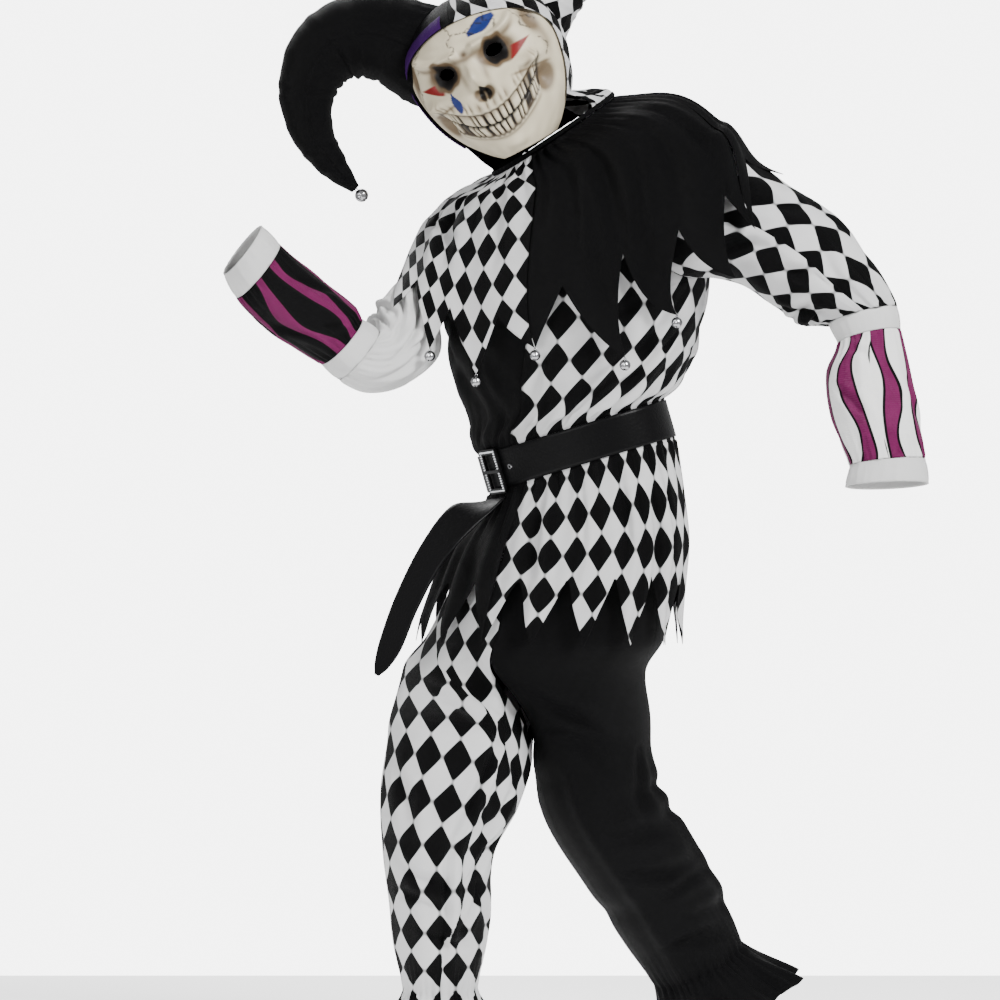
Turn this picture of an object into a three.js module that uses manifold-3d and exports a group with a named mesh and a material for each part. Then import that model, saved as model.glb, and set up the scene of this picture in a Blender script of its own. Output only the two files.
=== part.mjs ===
// Jester costume in its worn form: a two-colour tunic with a dagged cape, sleeves, belt, trousers, and a hood
// with two stuffed horns and a skull mask. Millimetres, +Z up, the front towards -Y, the wearer's left towards +X.
// The origin is the middle of the neck opening. Every cloth piece is a thin wall on a surface of two parameters.

import * as THREE from 'three';
import { mergeVertices } from 'three/addons/utils/BufferGeometryUtils.js';
import Module from 'manifold-3d';

const wasm = await Module();
wasm.setup();

const { degToRad, smoothstep, clamp } = THREE.MathUtils;

const CLOTH = 1.5;            // wall of the sewn cloth
const SEAM = 0.3;             // gap between two pieces at a seam
const SEAM_ANGLE = 0.07;      // the same gap on a ring, in degrees to each side of the seam
const LIMB_SEAM = 0.7;        // step along a limb between two rings that are sewn together
const MASK_WALL = 2.5;
const BAND_WALL = 2;          // doubled cloth of the elbow bands and cuffs
const BELT_WALL = 2.5;
const DAG_STEP = 22.5;        // degrees from one dag to the next on the cape and on the tunic hem

const MATERIALS = {
  black: { color: 0x17171a, roughness: 0.8 },
  white: { color: 0xe9e9e6, roughness: 0.85 },
  harlequin: { color: 0x8a8a8c, roughness: 0.8 },
  purple: { color: 0x4b236e, roughness: 0.6 },
  vinyl: { color: 0x101012, roughness: 0.35 },
  silver: { color: 0xc9cacc, roughness: 0.25, metalness: 1 },
  bone: { color: 0xe1dccd, roughness: 0.6 },
};
for (const name of Object.keys(MATERIALS)) MATERIALS[name] = new THREE.MeshStandardMaterial(MATERIALS[name]);

const costume = new THREE.Group();

function addPiece(name, geometry, material) {
  const mesh = new THREE.Mesh(geometry, MATERIALS[material]);
  mesh.name = name;
  costume.add(mesh);
}

// Sections

// One section of a table, on smooth curves through its rows. 'at' is the distance along the piece.
function sectionAt(rows, at) {
  let i = 0;
  while (i < rows.length - 2 && at > rows[i + 1].at) i += 1;
  const low = rows[i];
  const high = rows[i + 1];
  const before = rows[Math.max(i - 1, 0)];
  const after = rows[Math.min(i + 2, rows.length - 1)];
  const span = high.at - low.at;
  const k = clamp((at - low.at) / span, 0, 1);
  const section = {};
  for (const name of Object.keys(low)) {
    const startSlope = ((high[name] - before[name]) / (high.at - before.at)) * span;
    const endSlope = ((after[name] - low[name]) / (after.at - low.at)) * span;
    const drop = low[name] - high[name];
    const bend = -3 * drop - 2 * startSlope - endSlope;
    const twist = 2 * drop + startSlope + endSlope;
    section[name] = low[name] + k * (startSlope + k * (bend + k * twist));
  }
  return section;
}

// A point of a body ring. Angle 0 is the front and 90 the wearer's left. Turn swings the front to the
// wearer's right, pitch lowers the front and roll lifts the wearer's left side.
function bodyRing(section, angle) {
  const turn = degToRad(section.turn);
  const pitch = degToRad(section.pitch);
  const roll = degToRad(section.roll);
  const front = new THREE.Vector3(-Math.sin(turn) * Math.cos(pitch), -Math.cos(turn) * Math.cos(pitch), -Math.sin(pitch));
  const left = new THREE.Vector3(Math.cos(turn) * Math.cos(roll), -Math.sin(turn) * Math.cos(roll), Math.sin(roll));
  return new THREE.Vector3(section.x, section.y, section.z)
    .addScaledVector(left, section.wide * Math.sin(degToRad(angle)))
    .addScaledVector(front, section.deep * Math.cos(degToRad(angle)));
}

// A point of a limb ring. The limb runs along 'heading' in the front view (0 to +X, -90 down) and 'toward'
// the front. Angle 0 faces the front.
function limbRing(section, angle) {
  const heading = degToRad(section.heading);
  const toward = degToRad(section.toward);
  const side = new THREE.Vector3(-Math.sin(heading), 0, Math.cos(heading));
  const front = new THREE.Vector3(
    -Math.cos(heading) * Math.sin(toward), -Math.cos(toward), -Math.sin(heading) * Math.sin(toward));
  return new THREE.Vector3(section.x, section.y, section.z)
    .addScaledVector(side, section.wide * Math.sin(degToRad(angle)))
    .addScaledVector(front, section.deep * Math.cos(degToRad(angle)));
}

// Walls

const STEP = 0.01;            // step of the differences that give a surface its normal

// The outward normal of a surface(u, v) whose u runs to the wearer's left at the front and v away from the neck.
function normalAt(surface, u, v) {
  const along = surface(u, v + STEP).sub(surface(u, v - STEP));
  const across = surface(u + STEP, v).sub(surface(u - STEP, v));
  return along.cross(across).normalize();
}

function movedOut(surface, distance) {
  return (u, v) => surface(u, v).addScaledVector(normalAt(surface, u, v), distance);
}

// Turns corner points and faces into one closed geometry.
function closedGeometry(points, faces) {
  const geometry = new THREE.BufferGeometry();
  geometry.setAttribute('position', new THREE.Float32BufferAttribute(points.flatMap((p) => [p.x, p.y, p.z]), 3));
  geometry.setIndex(faces.flat());
  return geometry;
}

// A wall of cloth. place(i, j) gives the u and v of a grid point; the outer face lies on the surface and the
// inner one 'wall' below it. A round wall joins its last column to its first.
function wallOf(surface, place, columns, rows, { wall = CLOTH, round = false } = {}) {
  const across = round ? columns : columns + 1;
  const points = [];
  for (const depth of [0, wall]) {
    for (let j = 0; j <= rows; j += 1) {
      for (let i = 0; i < across; i += 1) {
        const [u, v] = place(i, j);
        points.push(surface(u, v).addScaledVector(normalAt(surface, u, v), -depth));
      }
    }
  }
  const inner = across * (rows + 1);
  const at = (i, j, layer) => layer * inner + j * across + (i % across);
  const faces = [];
  const quad = (a, b, c, d) => faces.push([a, b, c], [a, c, d]);
  for (let j = 0; j < rows; j += 1) {
    for (let i = 0; i < columns; i += 1) {
      quad(at(i, j, 0), at(i, j + 1, 0), at(i + 1, j + 1, 0), at(i + 1, j, 0));
      quad(at(i, j, 1), at(i + 1, j, 1), at(i + 1, j + 1, 1), at(i, j + 1, 1));
    }
  }
  for (let i = 0; i < columns; i += 1) {
    quad(at(i, 0, 0), at(i + 1, 0, 0), at(i + 1, 0, 1), at(i, 0, 1));
    quad(at(i, rows, 0), at(i, rows, 1), at(i + 1, rows, 1), at(i + 1, rows, 0));
  }
  if (!round) {
    for (let j = 0; j < rows; j += 1) {
      quad(at(0, j, 0), at(0, j, 1), at(0, j + 1, 1), at(0, j + 1, 0));
      quad(at(columns, j, 0), at(columns, j + 1, 0), at(columns, j + 1, 1), at(columns, j, 1));
    }
  }
  return closedGeometry(points, faces);
}

// A solid through rings of points, closed by a fan at each end.
function solidThrough(rings) {
  const count = rings[0].length;
  const middle = (ring) => ring.reduce((sum, p) => sum.add(p), new THREE.Vector3()).divideScalar(count);
  const points = [...rings.flat(), middle(rings[0]), middle(rings[rings.length - 1])];
  const last = (rings.length - 1) * count;
  const faces = [];
  for (let i = 0; i < count; i += 1) {
    const next = (i + 1) % count;
    for (let j = 0; j < last; j += count) {
      faces.push([j + i, j + count + i, j + count + next], [j + i, j + count + next, j + next]);
    }
    faces.push([points.length - 2, i, next], [points.length - 1, last + next, last + i]);
  }
  return closedGeometry(points, faces);
}

function toManifold(geometry) {
  const bare = geometry.clone();
  bare.deleteAttribute('normal');
  bare.deleteAttribute('uv');
  const merged = mergeVertices(bare);
  return new wasm.Manifold(new wasm.Mesh({
    numProp: 3,
    vertProperties: new Float32Array(merged.attributes.position.array),
    triVerts: new Uint32Array(merged.index.array),
  }));
}

function fromManifold(solid) {
  const mesh = solid.getMesh();
  const geometry = new THREE.BufferGeometry();
  geometry.setAttribute('position', new THREE.BufferAttribute(mesh.vertProperties, 3));
  geometry.setIndex(new THREE.BufferAttribute(mesh.triVerts, 1));
  return geometry;
}

const evenly = (from, to, steps) => Array.from({ length: steps + 1 }, (_, i) => from + ((to - from) * i) / steps);

// Tunic body: rings from the neck to the hem

const TUNIC = [
  { at: 0, x: 0, y: 0, z: 0, wide: 117, deep: 84, turn: 30, pitch: 24, roll: 28 },
  { at: 100, x: 30, y: 15, z: -53, wide: 246, deep: 118, turn: 30, pitch: 20, roll: 15 },
  { at: 200, x: 30, y: 30, z: -170, wide: 250, deep: 148, turn: 30, pitch: 16, roll: 9 },
  { at: 300, x: 36, y: 45, z: -269, wide: 240, deep: 156, turn: 32, pitch: 14, roll: 6 },
  { at: 380, x: 35, y: 62, z: -351, wide: 229, deep: 155, turn: 36, pitch: 14, roll: 6 },
  { at: 450, x: 41, y: 76, z: -420, wide: 212, deep: 152, turn: 42, pitch: 14, roll: 9 },
  { at: 500, x: 27, y: 88, z: -479, wide: 187, deep: 132, turn: 50, pitch: 13, roll: 11 },
  { at: 563, x: 45, y: 93, z: -541, wide: 187, deep: 132, turn: 50, pitch: 13, roll: 11 },
  { at: 690, x: 22, y: 95, z: -665, wide: 242, deep: 154, turn: 45, pitch: 5, roll: 4 },
  { at: 820, x: -6, y: 95, z: -790, wide: 254, deep: 164, turn: 42, pitch: 0, roll: 0 },
  { at: 880, x: -12, y: 95, z: -848, wide: 260, deep: 170, turn: 42, pitch: 0, roll: 0 },
];
const BELT_TOP = 500;
const BELT_BOTTOM = 563;
const HEM_TIP = 868;          // distance from the neck to the tip of a hem dag
const HEM_NOTCH = 752;        // and to the notch between two dags

// Gathers above and below the belt: one for each dag, each with its own depth.
const GATHERS = [
  { angle: -168, depth: 6, width: 9 },
  { angle: -146, depth: 4, width: 7 },
  { angle: -124, depth: 7, width: 9 },
  { angle: -101, depth: 5, width: 8 },
  { angle: -79, depth: 7, width: 8 },
  { angle: -57, depth: 4, width: 7 },
  { angle: -34, depth: 7, width: 9 },
  { angle: -11, depth: 5, width: 7 },
  { angle: 11, depth: 6, width: 8 },
  { angle: 34, depth: 8, width: 9 },
  { angle: 57, depth: 5, width: 7 },
  { angle: 79, depth: 8, width: 9 },
  { angle: 101, depth: 5, width: 8 },
  { angle: 124, depth: 7, width: 9 },
  { angle: 146, depth: 4, width: 7 },
  { angle: 168, depth: 6, width: 8 },
];

const angleApart = (a, b) => Math.abs(((a - b + 540) % 360) - 180);

function gatherDepth(angle) {
  return GATHERS.reduce((sum, g) => sum + g.depth * Math.exp(-((angleApart(angle, g.angle) / g.width) ** 2)), 0);
}

function torso(angle, at) {
  if (at > BELT_TOP && at < BELT_BOTTOM) {
    return torso(angle, BELT_TOP).lerp(torso(angle, BELT_BOTTOM), (at - BELT_TOP) / (BELT_BOTTOM - BELT_TOP));
  }
  const nearBelt = smoothstep(at, 390, 455) * (1 - smoothstep(at, 470, 496));
  const skirt = smoothstep(at, 572, 700);
  const section = sectionAt(TUNIC, at);
  const fold = gatherDepth(angle) * (nearBelt + 1.2 * skirt);
  section.wide -= fold;
  section.deep -= fold;
  return bodyRing(section, angle);
}

// The armhole is an ellipse on the torso about the wearer's left or right (side 1 or -1).
const ARMHOLE = { at: 195, halfHeight: 95, halfAngle: 38 };

function armholeAngle(at) {
  const sine = (at - ARMHOLE.at) / ARMHOLE.halfHeight;
  return Math.abs(sine) < 1 ? ARMHOLE.halfAngle * Math.sqrt(1 - sine * sine) : 0;
}

const armholeRows = [-1, -Math.SQRT1_2, 0, Math.SQRT1_2, 1].map((sine) => ARMHOLE.at + ARMHOLE.halfHeight * sine);
const TUNIC_ROWS = [0, 50, ...armholeRows, 345, 400, 440, 475, BELT_TOP, BELT_BOTTOM, 590, 640, 700];
const HEM_STEPS = 2;
const TUNIC_COLUMNS = 8;      // for each of the four panels: two for each dag

const dagShare = (angle) => Math.abs(2 * (((angle / DAG_STEP) % 1 + 1) % 1) - 1);
const hemAt = (angle) => HEM_NOTCH + (HEM_TIP - HEM_NOTCH) * dagShare(angle);

function tunicPanel(name, from, to, material) {
  const side = (from + to) / 2 > 0 ? 90 : -90;
  const last = TUNIC_ROWS.length - 1;
  const place = (i, j) => {
    const at = TUNIC_ROWS[Math.min(j, last)];
    const hole = armholeAngle(at);
    const start = from === side ? from + hole : from;
    const end = to === side ? to - hole : to;
    const angle = start + SEAM_ANGLE + ((end - start - 2 * SEAM_ANGLE) * i) / TUNIC_COLUMNS;
    const tip = hemAt(from + ((to - from) * i) / TUNIC_COLUMNS);
    return [angle, at + ((tip - at) * Math.max(j - last, 0)) / HEM_STEPS];
  };
  addPiece(name, wallOf(torso, place, TUNIC_COLUMNS, last + HEM_STEPS), material);
}

tunicPanel('tunic_front_right', -90, 0, 'black');
tunicPanel('tunic_front_left', 0, 90, 'harlequin');
tunicPanel('tunic_back_left', 90, 180, 'harlequin');
tunicPanel('tunic_back_right', -180, -90, 'black');

// Sleeves: rings from the armhole to the elbow band, then the forearm and the cuff

const LEFT_SLEEVE = [
  { at: 0, x: 264, y: -95, z: -126, wide: 112, deep: 96, heading: -20, toward: 6 },
  { at: 110, x: 335, y: -100, z: -162, wide: 89, deep: 84, heading: -23, toward: 6 },
  { at: 190, x: 404, y: -112, z: -208, wide: 86, deep: 82, heading: -33, toward: 6 },
  { at: 260, x: 454, y: -120, z: -257, wide: 77, deep: 76, heading: -46, toward: 6 },
  { at: 320, x: 500, y: -126, z: -299, wide: 58, deep: 58, heading: -76, toward: 8 },
];
const LEFT_ARM = [
  { at: 0, x: 500, y: -126, z: -299, wide: 58, deep: 56, heading: -76, toward: 8 },
  { at: 35, x: 510, y: -130, z: -334, wide: 53, deep: 52, heading: -78, toward: 10 },
  { at: 92, x: 508, y: -138, z: -391, wide: 67, deep: 62, heading: -88, toward: 10 },
  { at: 158, x: 518, y: -148, z: -455, wide: 69, deep: 64, heading: -85, toward: 8 },
  { at: 200, x: 528, y: -154, z: -497, wide: 66, deep: 62, heading: -83, toward: 6 },
  { at: 240, x: 538, y: -158, z: -538, wide: 62, deep: 58, heading: -85, toward: 6 },
  { at: 278, x: 537, y: -162, z: -575, wide: 68, deep: 63, heading: -88, toward: 6 },
];
const RIGHT_SLEEVE = [
  { at: 0, x: -240, y: 108, z: -240, wide: 72, deep: 76, heading: 192, toward: 20 },
  { at: 90, x: -230, y: 52, z: -297, wide: 76, deep: 68, heading: 189, toward: 36 },
  { at: 180, x: -264, y: 0, z: -337, wide: 70, deep: 72, heading: 186, toward: 42 },
  { at: 240, x: -300, y: -46, z: -361, wide: 61, deep: 64, heading: 163, toward: 30 },
  { at: 275, x: -323, y: -68, z: -361, wide: 52, deep: 54, heading: 140, toward: 12 },
];
const RIGHT_ARM = [
  { at: 0, x: -323, y: -68, z: -361, wide: 52, deep: 54, heading: 140, toward: 12 },
  { at: 36, x: -351, y: -77, z: -339, wide: 50, deep: 51, heading: 138, toward: 14 },
  { at: 60, x: -368, y: -84, z: -323, wide: 56, deep: 56, heading: 136, toward: 15 },
  { at: 125, x: -419, y: -103, z: -287, wide: 59, deep: 58, heading: 137, toward: 15 },
  { at: 182, x: -462, y: -120, z: -251, wide: 59, deep: 57, heading: 139, toward: 14 },
  { at: 218, x: -485, y: -130, z: -226, wide: 56, deep: 54, heading: 141, toward: 13 },
  { at: 262, x: -510, y: -142, z: -192, wide: 50, deep: 49, heading: 142, toward: 12 },
];
const BAND_END = { left: 35, right: 36 };
const CUFF_START = { left: 240, right: 218 };
const SLEEVE_COLUMNS = 16;
const ARMHOLE_INSET = 0.7;    // the sleeve head sits inside the armhole edge by this much
const SLEEVE_HEAD = 14;       // and stands out from it this far before it turns along the arm

// A point of the armhole edge, straight between its rows, at a sleeve angle. 'up' is the sign of the sleeve
// angle that looks up.
function armholePoint(side, up, angle) {
  const corner = (degrees) => {
    const at = ARMHOLE.at - ARMHOLE.halfHeight * up * Math.sin(degToRad(degrees));
    return torso(side * (90 - ARMHOLE.halfAngle * Math.cos(degToRad(degrees))), at);
  };
  const low = Math.floor(angle / 45) * 45;
  return corner(low).lerp(corner(low + 45), (angle - low) / 45);
}

// Soft folds of a sleeve: 'count' waves round the ring, strongest at its gathered ends.
function sleeveFold(angle, share, count, depth) {
  const gathered = 1 - 0.75 * Math.sin(Math.PI * share);
  return depth * gathered * smoothstep(share, 0.05, 0.3) * Math.cos(degToRad(count * angle) + 3 * share);
}

function upperSleeve(rows, side, up) {
  const end = rows[rows.length - 1].at;
  const loop = evenly(0, 315, 7).map((angle) => armholePoint(side, up, angle));
  const middle = loop.reduce((sum, p) => sum.add(p), new THREE.Vector3()).divideScalar(loop.length);
  const out = normalAt(torso, side * 90, ARMHOLE.at);
  return (angle, at) => {
    const section = sectionAt(rows, at);
    const fold = sleeveFold(angle, at / end, 8, 2.5);
    section.wide += fold;
    section.deep += fold;
    const edge = armholePoint(side, up, angle);
    edge.addScaledVector(middle.clone().sub(edge).normalize(), ARMHOLE_INSET);
    edge.addScaledVector(out, SLEEVE_HEAD * smoothstep(at, 0, 1.3 * SLEEVE_HEAD));
    return edge.lerp(limbRing(section, angle), smoothstep(at, 0, rows[1].at));
  };
}

function tube(name, surface, places, material, wall = CLOTH) {
  const place = (i, j) => [(360 * i) / SLEEVE_COLUMNS, places[j]];
  addPiece(name, wallOf(surface, place, SLEEVE_COLUMNS, places.length - 1, { wall, round: true }), material);
}

const leftSleeve = upperSleeve(LEFT_SLEEVE, 1, 1);
const rightSleeve = upperSleeve(RIGHT_SLEEVE, -1, -1);
tube('sleeve_left', leftSleeve, [2, 18, 45, 75, 110, 150, 190, 225, 260, 290, 320 - 2 * LIMB_SEAM], 'harlequin');
tube('sleeve_right', rightSleeve, [2, 15, 32, 60, 90, 135, 180, 210, 240, 258, 275 - 4 * LIMB_SEAM], 'white');

function lowerArm(suffix, rows, colour) {
  const surface = (angle, at) => limbRing(sectionAt(rows, at), angle);
  const bandEnd = BAND_END[suffix];
  const cuffStart = CUFF_START[suffix];
  const cuffEnd = rows[rows.length - 1].at;
  const cloth = (angle, at) => {
    const section = sectionAt(rows, at);
    const fold = sleeveFold(angle, (at - bandEnd) / (cuffStart - bandEnd), 8, 1.5);
    section.wide += fold;
    section.deep += fold;
    return limbRing(section, angle);
  };
  tube(`elbow_band_${suffix}`, surface, [0, bandEnd / 2, bandEnd - LIMB_SEAM], 'white', BAND_WALL);
  tube(`forearm_${suffix}`, cloth, evenly(bandEnd, cuffStart - LIMB_SEAM, 5), colour);
  tube(`cuff_${suffix}`, surface, evenly(cuffStart, cuffEnd, 2), 'white', BAND_WALL);
}

lowerArm('left', LEFT_ARM, 'white');
lowerArm('right', RIGHT_ARM, 'black');

// Cape: a row for each dag, with the fall of the cloth half way down and at the tip of the dag.
// 'notch' is how far down the cut between this dag and the next one starts, as a share of the length.

const CAPE = [
  { angle: -180, midX: 110, midY: 168, midZ: -130, tipX: 125, tipY: 194, tipZ: -262, notch: 0.74 },
  { angle: -157.5, midX: 14, midY: 207, midZ: -150, tipX: 40, tipY: 236, tipZ: -274, notch: 0.74 },
  { angle: -135, midX: -78, midY: 220, midZ: -170, tipX: -48, tipY: 250, tipZ: -290, notch: 0.74 },
  { angle: -112.5, midX: -152, midY: 208, midZ: -190, tipX: -128, tipY: 238, tipZ: -302, notch: 0.74 },
  { angle: -90, midX: -231, midY: 158, midZ: -182, tipX: -272, tipY: 140, tipZ: -268, notch: 0.74 },
  { angle: -67.5, midX: -236, midY: 64, midZ: -186, tipX: -268, tipY: -60, tipZ: -284, notch: 0.76 },
  { angle: -45, midX: -200, midY: -16, midZ: -214, tipX: -206, tipY: -74, tipZ: -351, notch: 0.76 },
  { angle: -22.5, midX: -132, midY: -62, midZ: -235, tipX: -130, tipY: -66, tipZ: -393, notch: 0.8 },
  { angle: 0, midX: -46, midY: -112, midZ: -210, tipX: -34, tipY: -98, tipZ: -351, notch: 0.72 },
  { angle: 22.5, midX: 62, midY: -152, midZ: -200, tipX: 112, tipY: -148, tipZ: -368, notch: 0.65 },
  { angle: 45, midX: 150, midY: -166, midZ: -165, tipX: 196, tipY: -158, tipZ: -299, notch: 0.66 },
  { angle: 67.5, midX: 238, midY: -188, midZ: -118, tipX: 290, tipY: -206, tipZ: -239, notch: 0.7 },
  { angle: 90, midX: 290, midY: -160, midZ: -44, tipX: 322, tipY: -214, tipZ: -160, notch: 0.7 },
  { angle: 112.5, midX: 308, midY: -82, midZ: -17, tipX: 371, tipY: -110, tipZ: -68, notch: 0.72 },
  { angle: 135, midX: 282, midY: 10, midZ: -24, tipX: 352, tipY: 2, tipZ: -118, notch: 0.74 },
  { angle: 157.5, midX: 192, midY: 110, midZ: -105, tipX: 220, tipY: 132, tipZ: -232, notch: 0.74 },
  { angle: 180, midX: 110, midY: 168, midZ: -130, tipX: 125, tipY: 194, tipZ: -262, notch: 0.74 },
];
const CAPE_ROWS = CAPE.map((row) => ({ at: row.angle, ...row }));
const CAPE_SHOULDER = 0.3;    // share of the length at which the cape leaves the torso
const CAPE_MIDDLE = 0.62;
const CAPE_LIFT = 14;         // clearance over the shoulders
const CAPE_STEPS = 6;
const CAPE_COLUMNS = 8;

const neckEdge = movedOut(torso, CLOTH + SEAM);
const shoulderLine = movedOut(torso, CLOTH + SEAM + CAPE_LIFT);

// Cubic through four points at their places, by Lagrange's formula.
function through(points, places, share) {
  const sum = new THREE.Vector3();
  points.forEach((point, i) => {
    const weight = places.reduce((w, place, k) => (k === i ? w : (w * (share - place)) / (places[i] - place)), 1);
    sum.addScaledVector(point, weight);
  });
  return sum;
}

function cape(angle, share) {
  const row = sectionAt(CAPE_ROWS, angle);
  const down = 100 * (share / CAPE_SHOULDER);
  const onShoulder = torso(angle, down)
    .addScaledVector(normalAt(torso, angle, down), CLOTH + SEAM + CAPE_LIFT * smoothstep(share, 0, 0.2));
  const points = [
    neckEdge(angle, 0),
    shoulderLine(angle, 100),
    new THREE.Vector3(row.midX, row.midY, row.midZ),
    new THREE.Vector3(row.tipX, row.tipY, row.tipZ),
  ];
  const fallen = through(points, [0, CAPE_SHOULDER, CAPE_MIDDLE, 1], share);
  return onShoulder.lerp(fallen, smoothstep(share, 0.2, 0.42));
}

// How far down the cape reaches at an angle: 1 at a tip and the notch share half way to the next.
function capeEnd(angle) {
  const index = clamp(Math.floor((angle + 180) / DAG_STEP), 0, CAPE.length - 2);
  return 1 - (1 - CAPE[index].notch) * (1 - dagShare(angle));
}

function capePanel(name, from, to, material) {
  const place = (i, j) => {
    const angle = from + ((to - from) * i) / CAPE_COLUMNS;
    const inset = i === 0 ? 2 * SEAM_ANGLE : i === CAPE_COLUMNS ? -2 * SEAM_ANGLE : 0;
    return [angle + inset, (capeEnd(angle) * j) / CAPE_STEPS];
  };
  addPiece(name, wallOf(cape, place, CAPE_COLUMNS, CAPE_STEPS), material);
}

capePanel('cape_front_right', -90, 0, 'harlequin');
capePanel('cape_front_left', 0, 90, 'black');
capePanel('cape_back_left', 90, 180, 'black');
capePanel('cape_back_right', -180, -90, 'harlequin');

// Neck binding: a round strip over the neck edges of the tunic and the cape

const BINDING = { base: 2.5, height: 10, inner: 0, outer: 3, columns: 32 };

const neckUp = bodyRing(TUNIC[0], 0).cross(bodyRing(TUNIC[0], 90)).normalize();

function neckBinding() {
  const section = TUNIC[0];
  const corner = (angle, out, lift) => {
    const grown = { ...section, wide: section.wide + out, deep: section.deep + out };
    return bodyRing(grown, angle).addScaledVector(neckUp, lift);
  };
  const rings = evenly(0, 360, BINDING.columns).slice(0, -1).map((angle) => [
    corner(angle, BINDING.inner, BINDING.base), corner(angle, BINDING.outer, BINDING.base),
    corner(angle, BINDING.outer - 1, BINDING.height), corner(angle, BINDING.inner, BINDING.height),
  ]);
  addPiece('neck_binding', closedRing(rings), 'black');
}

// A solid whose cross-sections run round and join the first again.
function closedRing(rings) {
  const count = rings[0].length;
  const faces = [];
  rings.forEach((_, j) => {
    const next = (j + 1) % rings.length;
    for (let i = 0; i < count; i += 1) {
      const k = (i + 1) % count;
      faces.push([j * count + i, next * count + i, next * count + k]);
      faces.push([j * count + i, next * count + k, j * count + k]);
    }
  });
  return closedGeometry(rings.flat(), faces);
}

neckBinding();

// Bells: a round jingle bell on its short loop

const BELL_RADIUS = 9;
const HOOD_BELL_RADIUS = 11;
const BELL_PROFILE = [[0, -1], [0.76, -0.65], [1, 0], [0.76, 0.65], [0.2, 0.98], [0.2, 1.25], [0, 1.25]];

// Hangs a bell from a point, along a direction.
function bell(name, tip, direction, radius) {
  const outline = BELL_PROFILE.map(([x, y]) => new THREE.Vector2(x * radius, y * radius));
  const geometry = new THREE.LatheGeometry(outline, 7);
  geometry.rotateX(Math.PI / 2);
  const down = direction.clone().normalize();
  geometry.applyQuaternion(new THREE.Quaternion().setFromUnitVectors(new THREE.Vector3(0, 0, -1), down));
  const centre = tip.clone().addScaledVector(down, 1.25 * radius + 2.5 * SEAM);
  geometry.translate(centre.x, centre.y, centre.z);
  addPiece(name, geometry, 'silver');
}

// The dags that carry a bell: five at the front and five at the back.
const CAPE_BELLS = [-45, -22.5, 0, 22.5, 45, 135, 157.5, 180, -157.5, -135];
CAPE_BELLS.forEach((angle, i) => {
  const tip = cape(angle, 1).addScaledVector(normalAt(cape, angle, 0.98), -CLOTH / 2);
  bell(`cape_bell_${i + 1}`, tip, new THREE.Vector3(0, 0, -1), BELL_RADIUS);
});

// Belt: a strap round the waist, its hanging end, a frame buckle with a prong, and one eyelet

const BELT_COLUMNS = 32;
const BELT_MIDDLE = (BELT_TOP + BELT_BOTTOM) / 2;
const BUCKLE = { angle: -20, width: 56, height: 76, bar: 9, depth: 5, corner: 4 };
const PRONG = { width: 5, depth: 2.5, reach: 29 };
const EYELET = { angle: -5, outer: 5, inner: 2.2, depth: 1.2 };

const strap = movedOut(torso, SEAM + BELT_WALL);
const STRAP_TOP = BELT_TOP + 1;
const STRAP_BOTTOM = BELT_BOTTOM - 1;
const strapPlace = (i, j) => [-180 + (360 * i) / BELT_COLUMNS, j ? STRAP_BOTTOM : STRAP_TOP];
addPiece('belt_strap', wallOf(strap, strapPlace, BELT_COLUMNS, 1, { wall: BELT_WALL, round: true }), 'vinyl');

// Moves a flat shape, drawn with x along the strap and y up, onto the strap at an angle.
function ontoStrap(geometry, angle, lift) {
  const normal = normalAt(torso, angle, BELT_MIDDLE);
  const down = torso(angle, BELT_BOTTOM).sub(torso(angle, BELT_TOP)).normalize();
  const up = down.negate().addScaledVector(normal, -down.dot(normal)).normalize();
  const along = up.clone().cross(normal);
  const base = strap(angle, STRAP_TOP).lerp(strap(angle, STRAP_BOTTOM), 0.5).addScaledVector(normal, lift);
  geometry.applyMatrix4(new THREE.Matrix4().makeBasis(along, up, normal).setPosition(base));
  return geometry;
}

function roundedRectangle(target, width, height, corner) {
  const x = width / 2 - corner;
  const y = height / 2 - corner;
  target.absarc(x, y, corner, 0, Math.PI / 2);
  target.absarc(-x, y, corner, Math.PI / 2, Math.PI);
  target.absarc(-x, -y, corner, Math.PI, 1.5 * Math.PI);
  target.absarc(x, -y, corner, 1.5 * Math.PI, 2 * Math.PI);
  return target;
}

function buckleFrame() {
  const shape = roundedRectangle(new THREE.Shape(), BUCKLE.width, BUCKLE.height, BUCKLE.corner);
  const hole = roundedRectangle(new THREE.Path(), BUCKLE.width - 2 * BUCKLE.bar, BUCKLE.height - 2 * BUCKLE.bar, 1);
  shape.holes.push(hole);
  return new THREE.ExtrudeGeometry(shape, { depth: BUCKLE.depth, bevelEnabled: false, curveSegments: 2 });
}

// The prong lies across the frame and turns down beside its left bar.
function buckleProng() {
  const left = -BUCKLE.width / 2 - SEAM;
  const top = BUCKLE.depth + SEAM;
  const profile = new THREE.Shape();
  profile.moveTo(left - PRONG.depth, 1);
  profile.lineTo(left, 1);
  profile.lineTo(left, top);
  profile.lineTo(PRONG.reach, top);
  profile.lineTo(PRONG.reach - 2, top + PRONG.depth);
  profile.lineTo(left - PRONG.depth, top + PRONG.depth);
  const geometry = new THREE.ExtrudeGeometry(profile, { depth: PRONG.width, bevelEnabled: false });
  geometry.rotateX(Math.PI / 2);
  geometry.translate(0, PRONG.width / 2, 0);
  return geometry;
}

function eyeletRing() {
  const { outer, inner, depth } = EYELET;
  const section = [[inner, 0], [outer, 0], [outer - 0.6, depth], [inner, depth], [inner, 0]];
  const geometry = new THREE.LatheGeometry(section.map(([x, y]) => new THREE.Vector2(x, y)), 12);
  return geometry.rotateX(Math.PI / 2);
}

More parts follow.
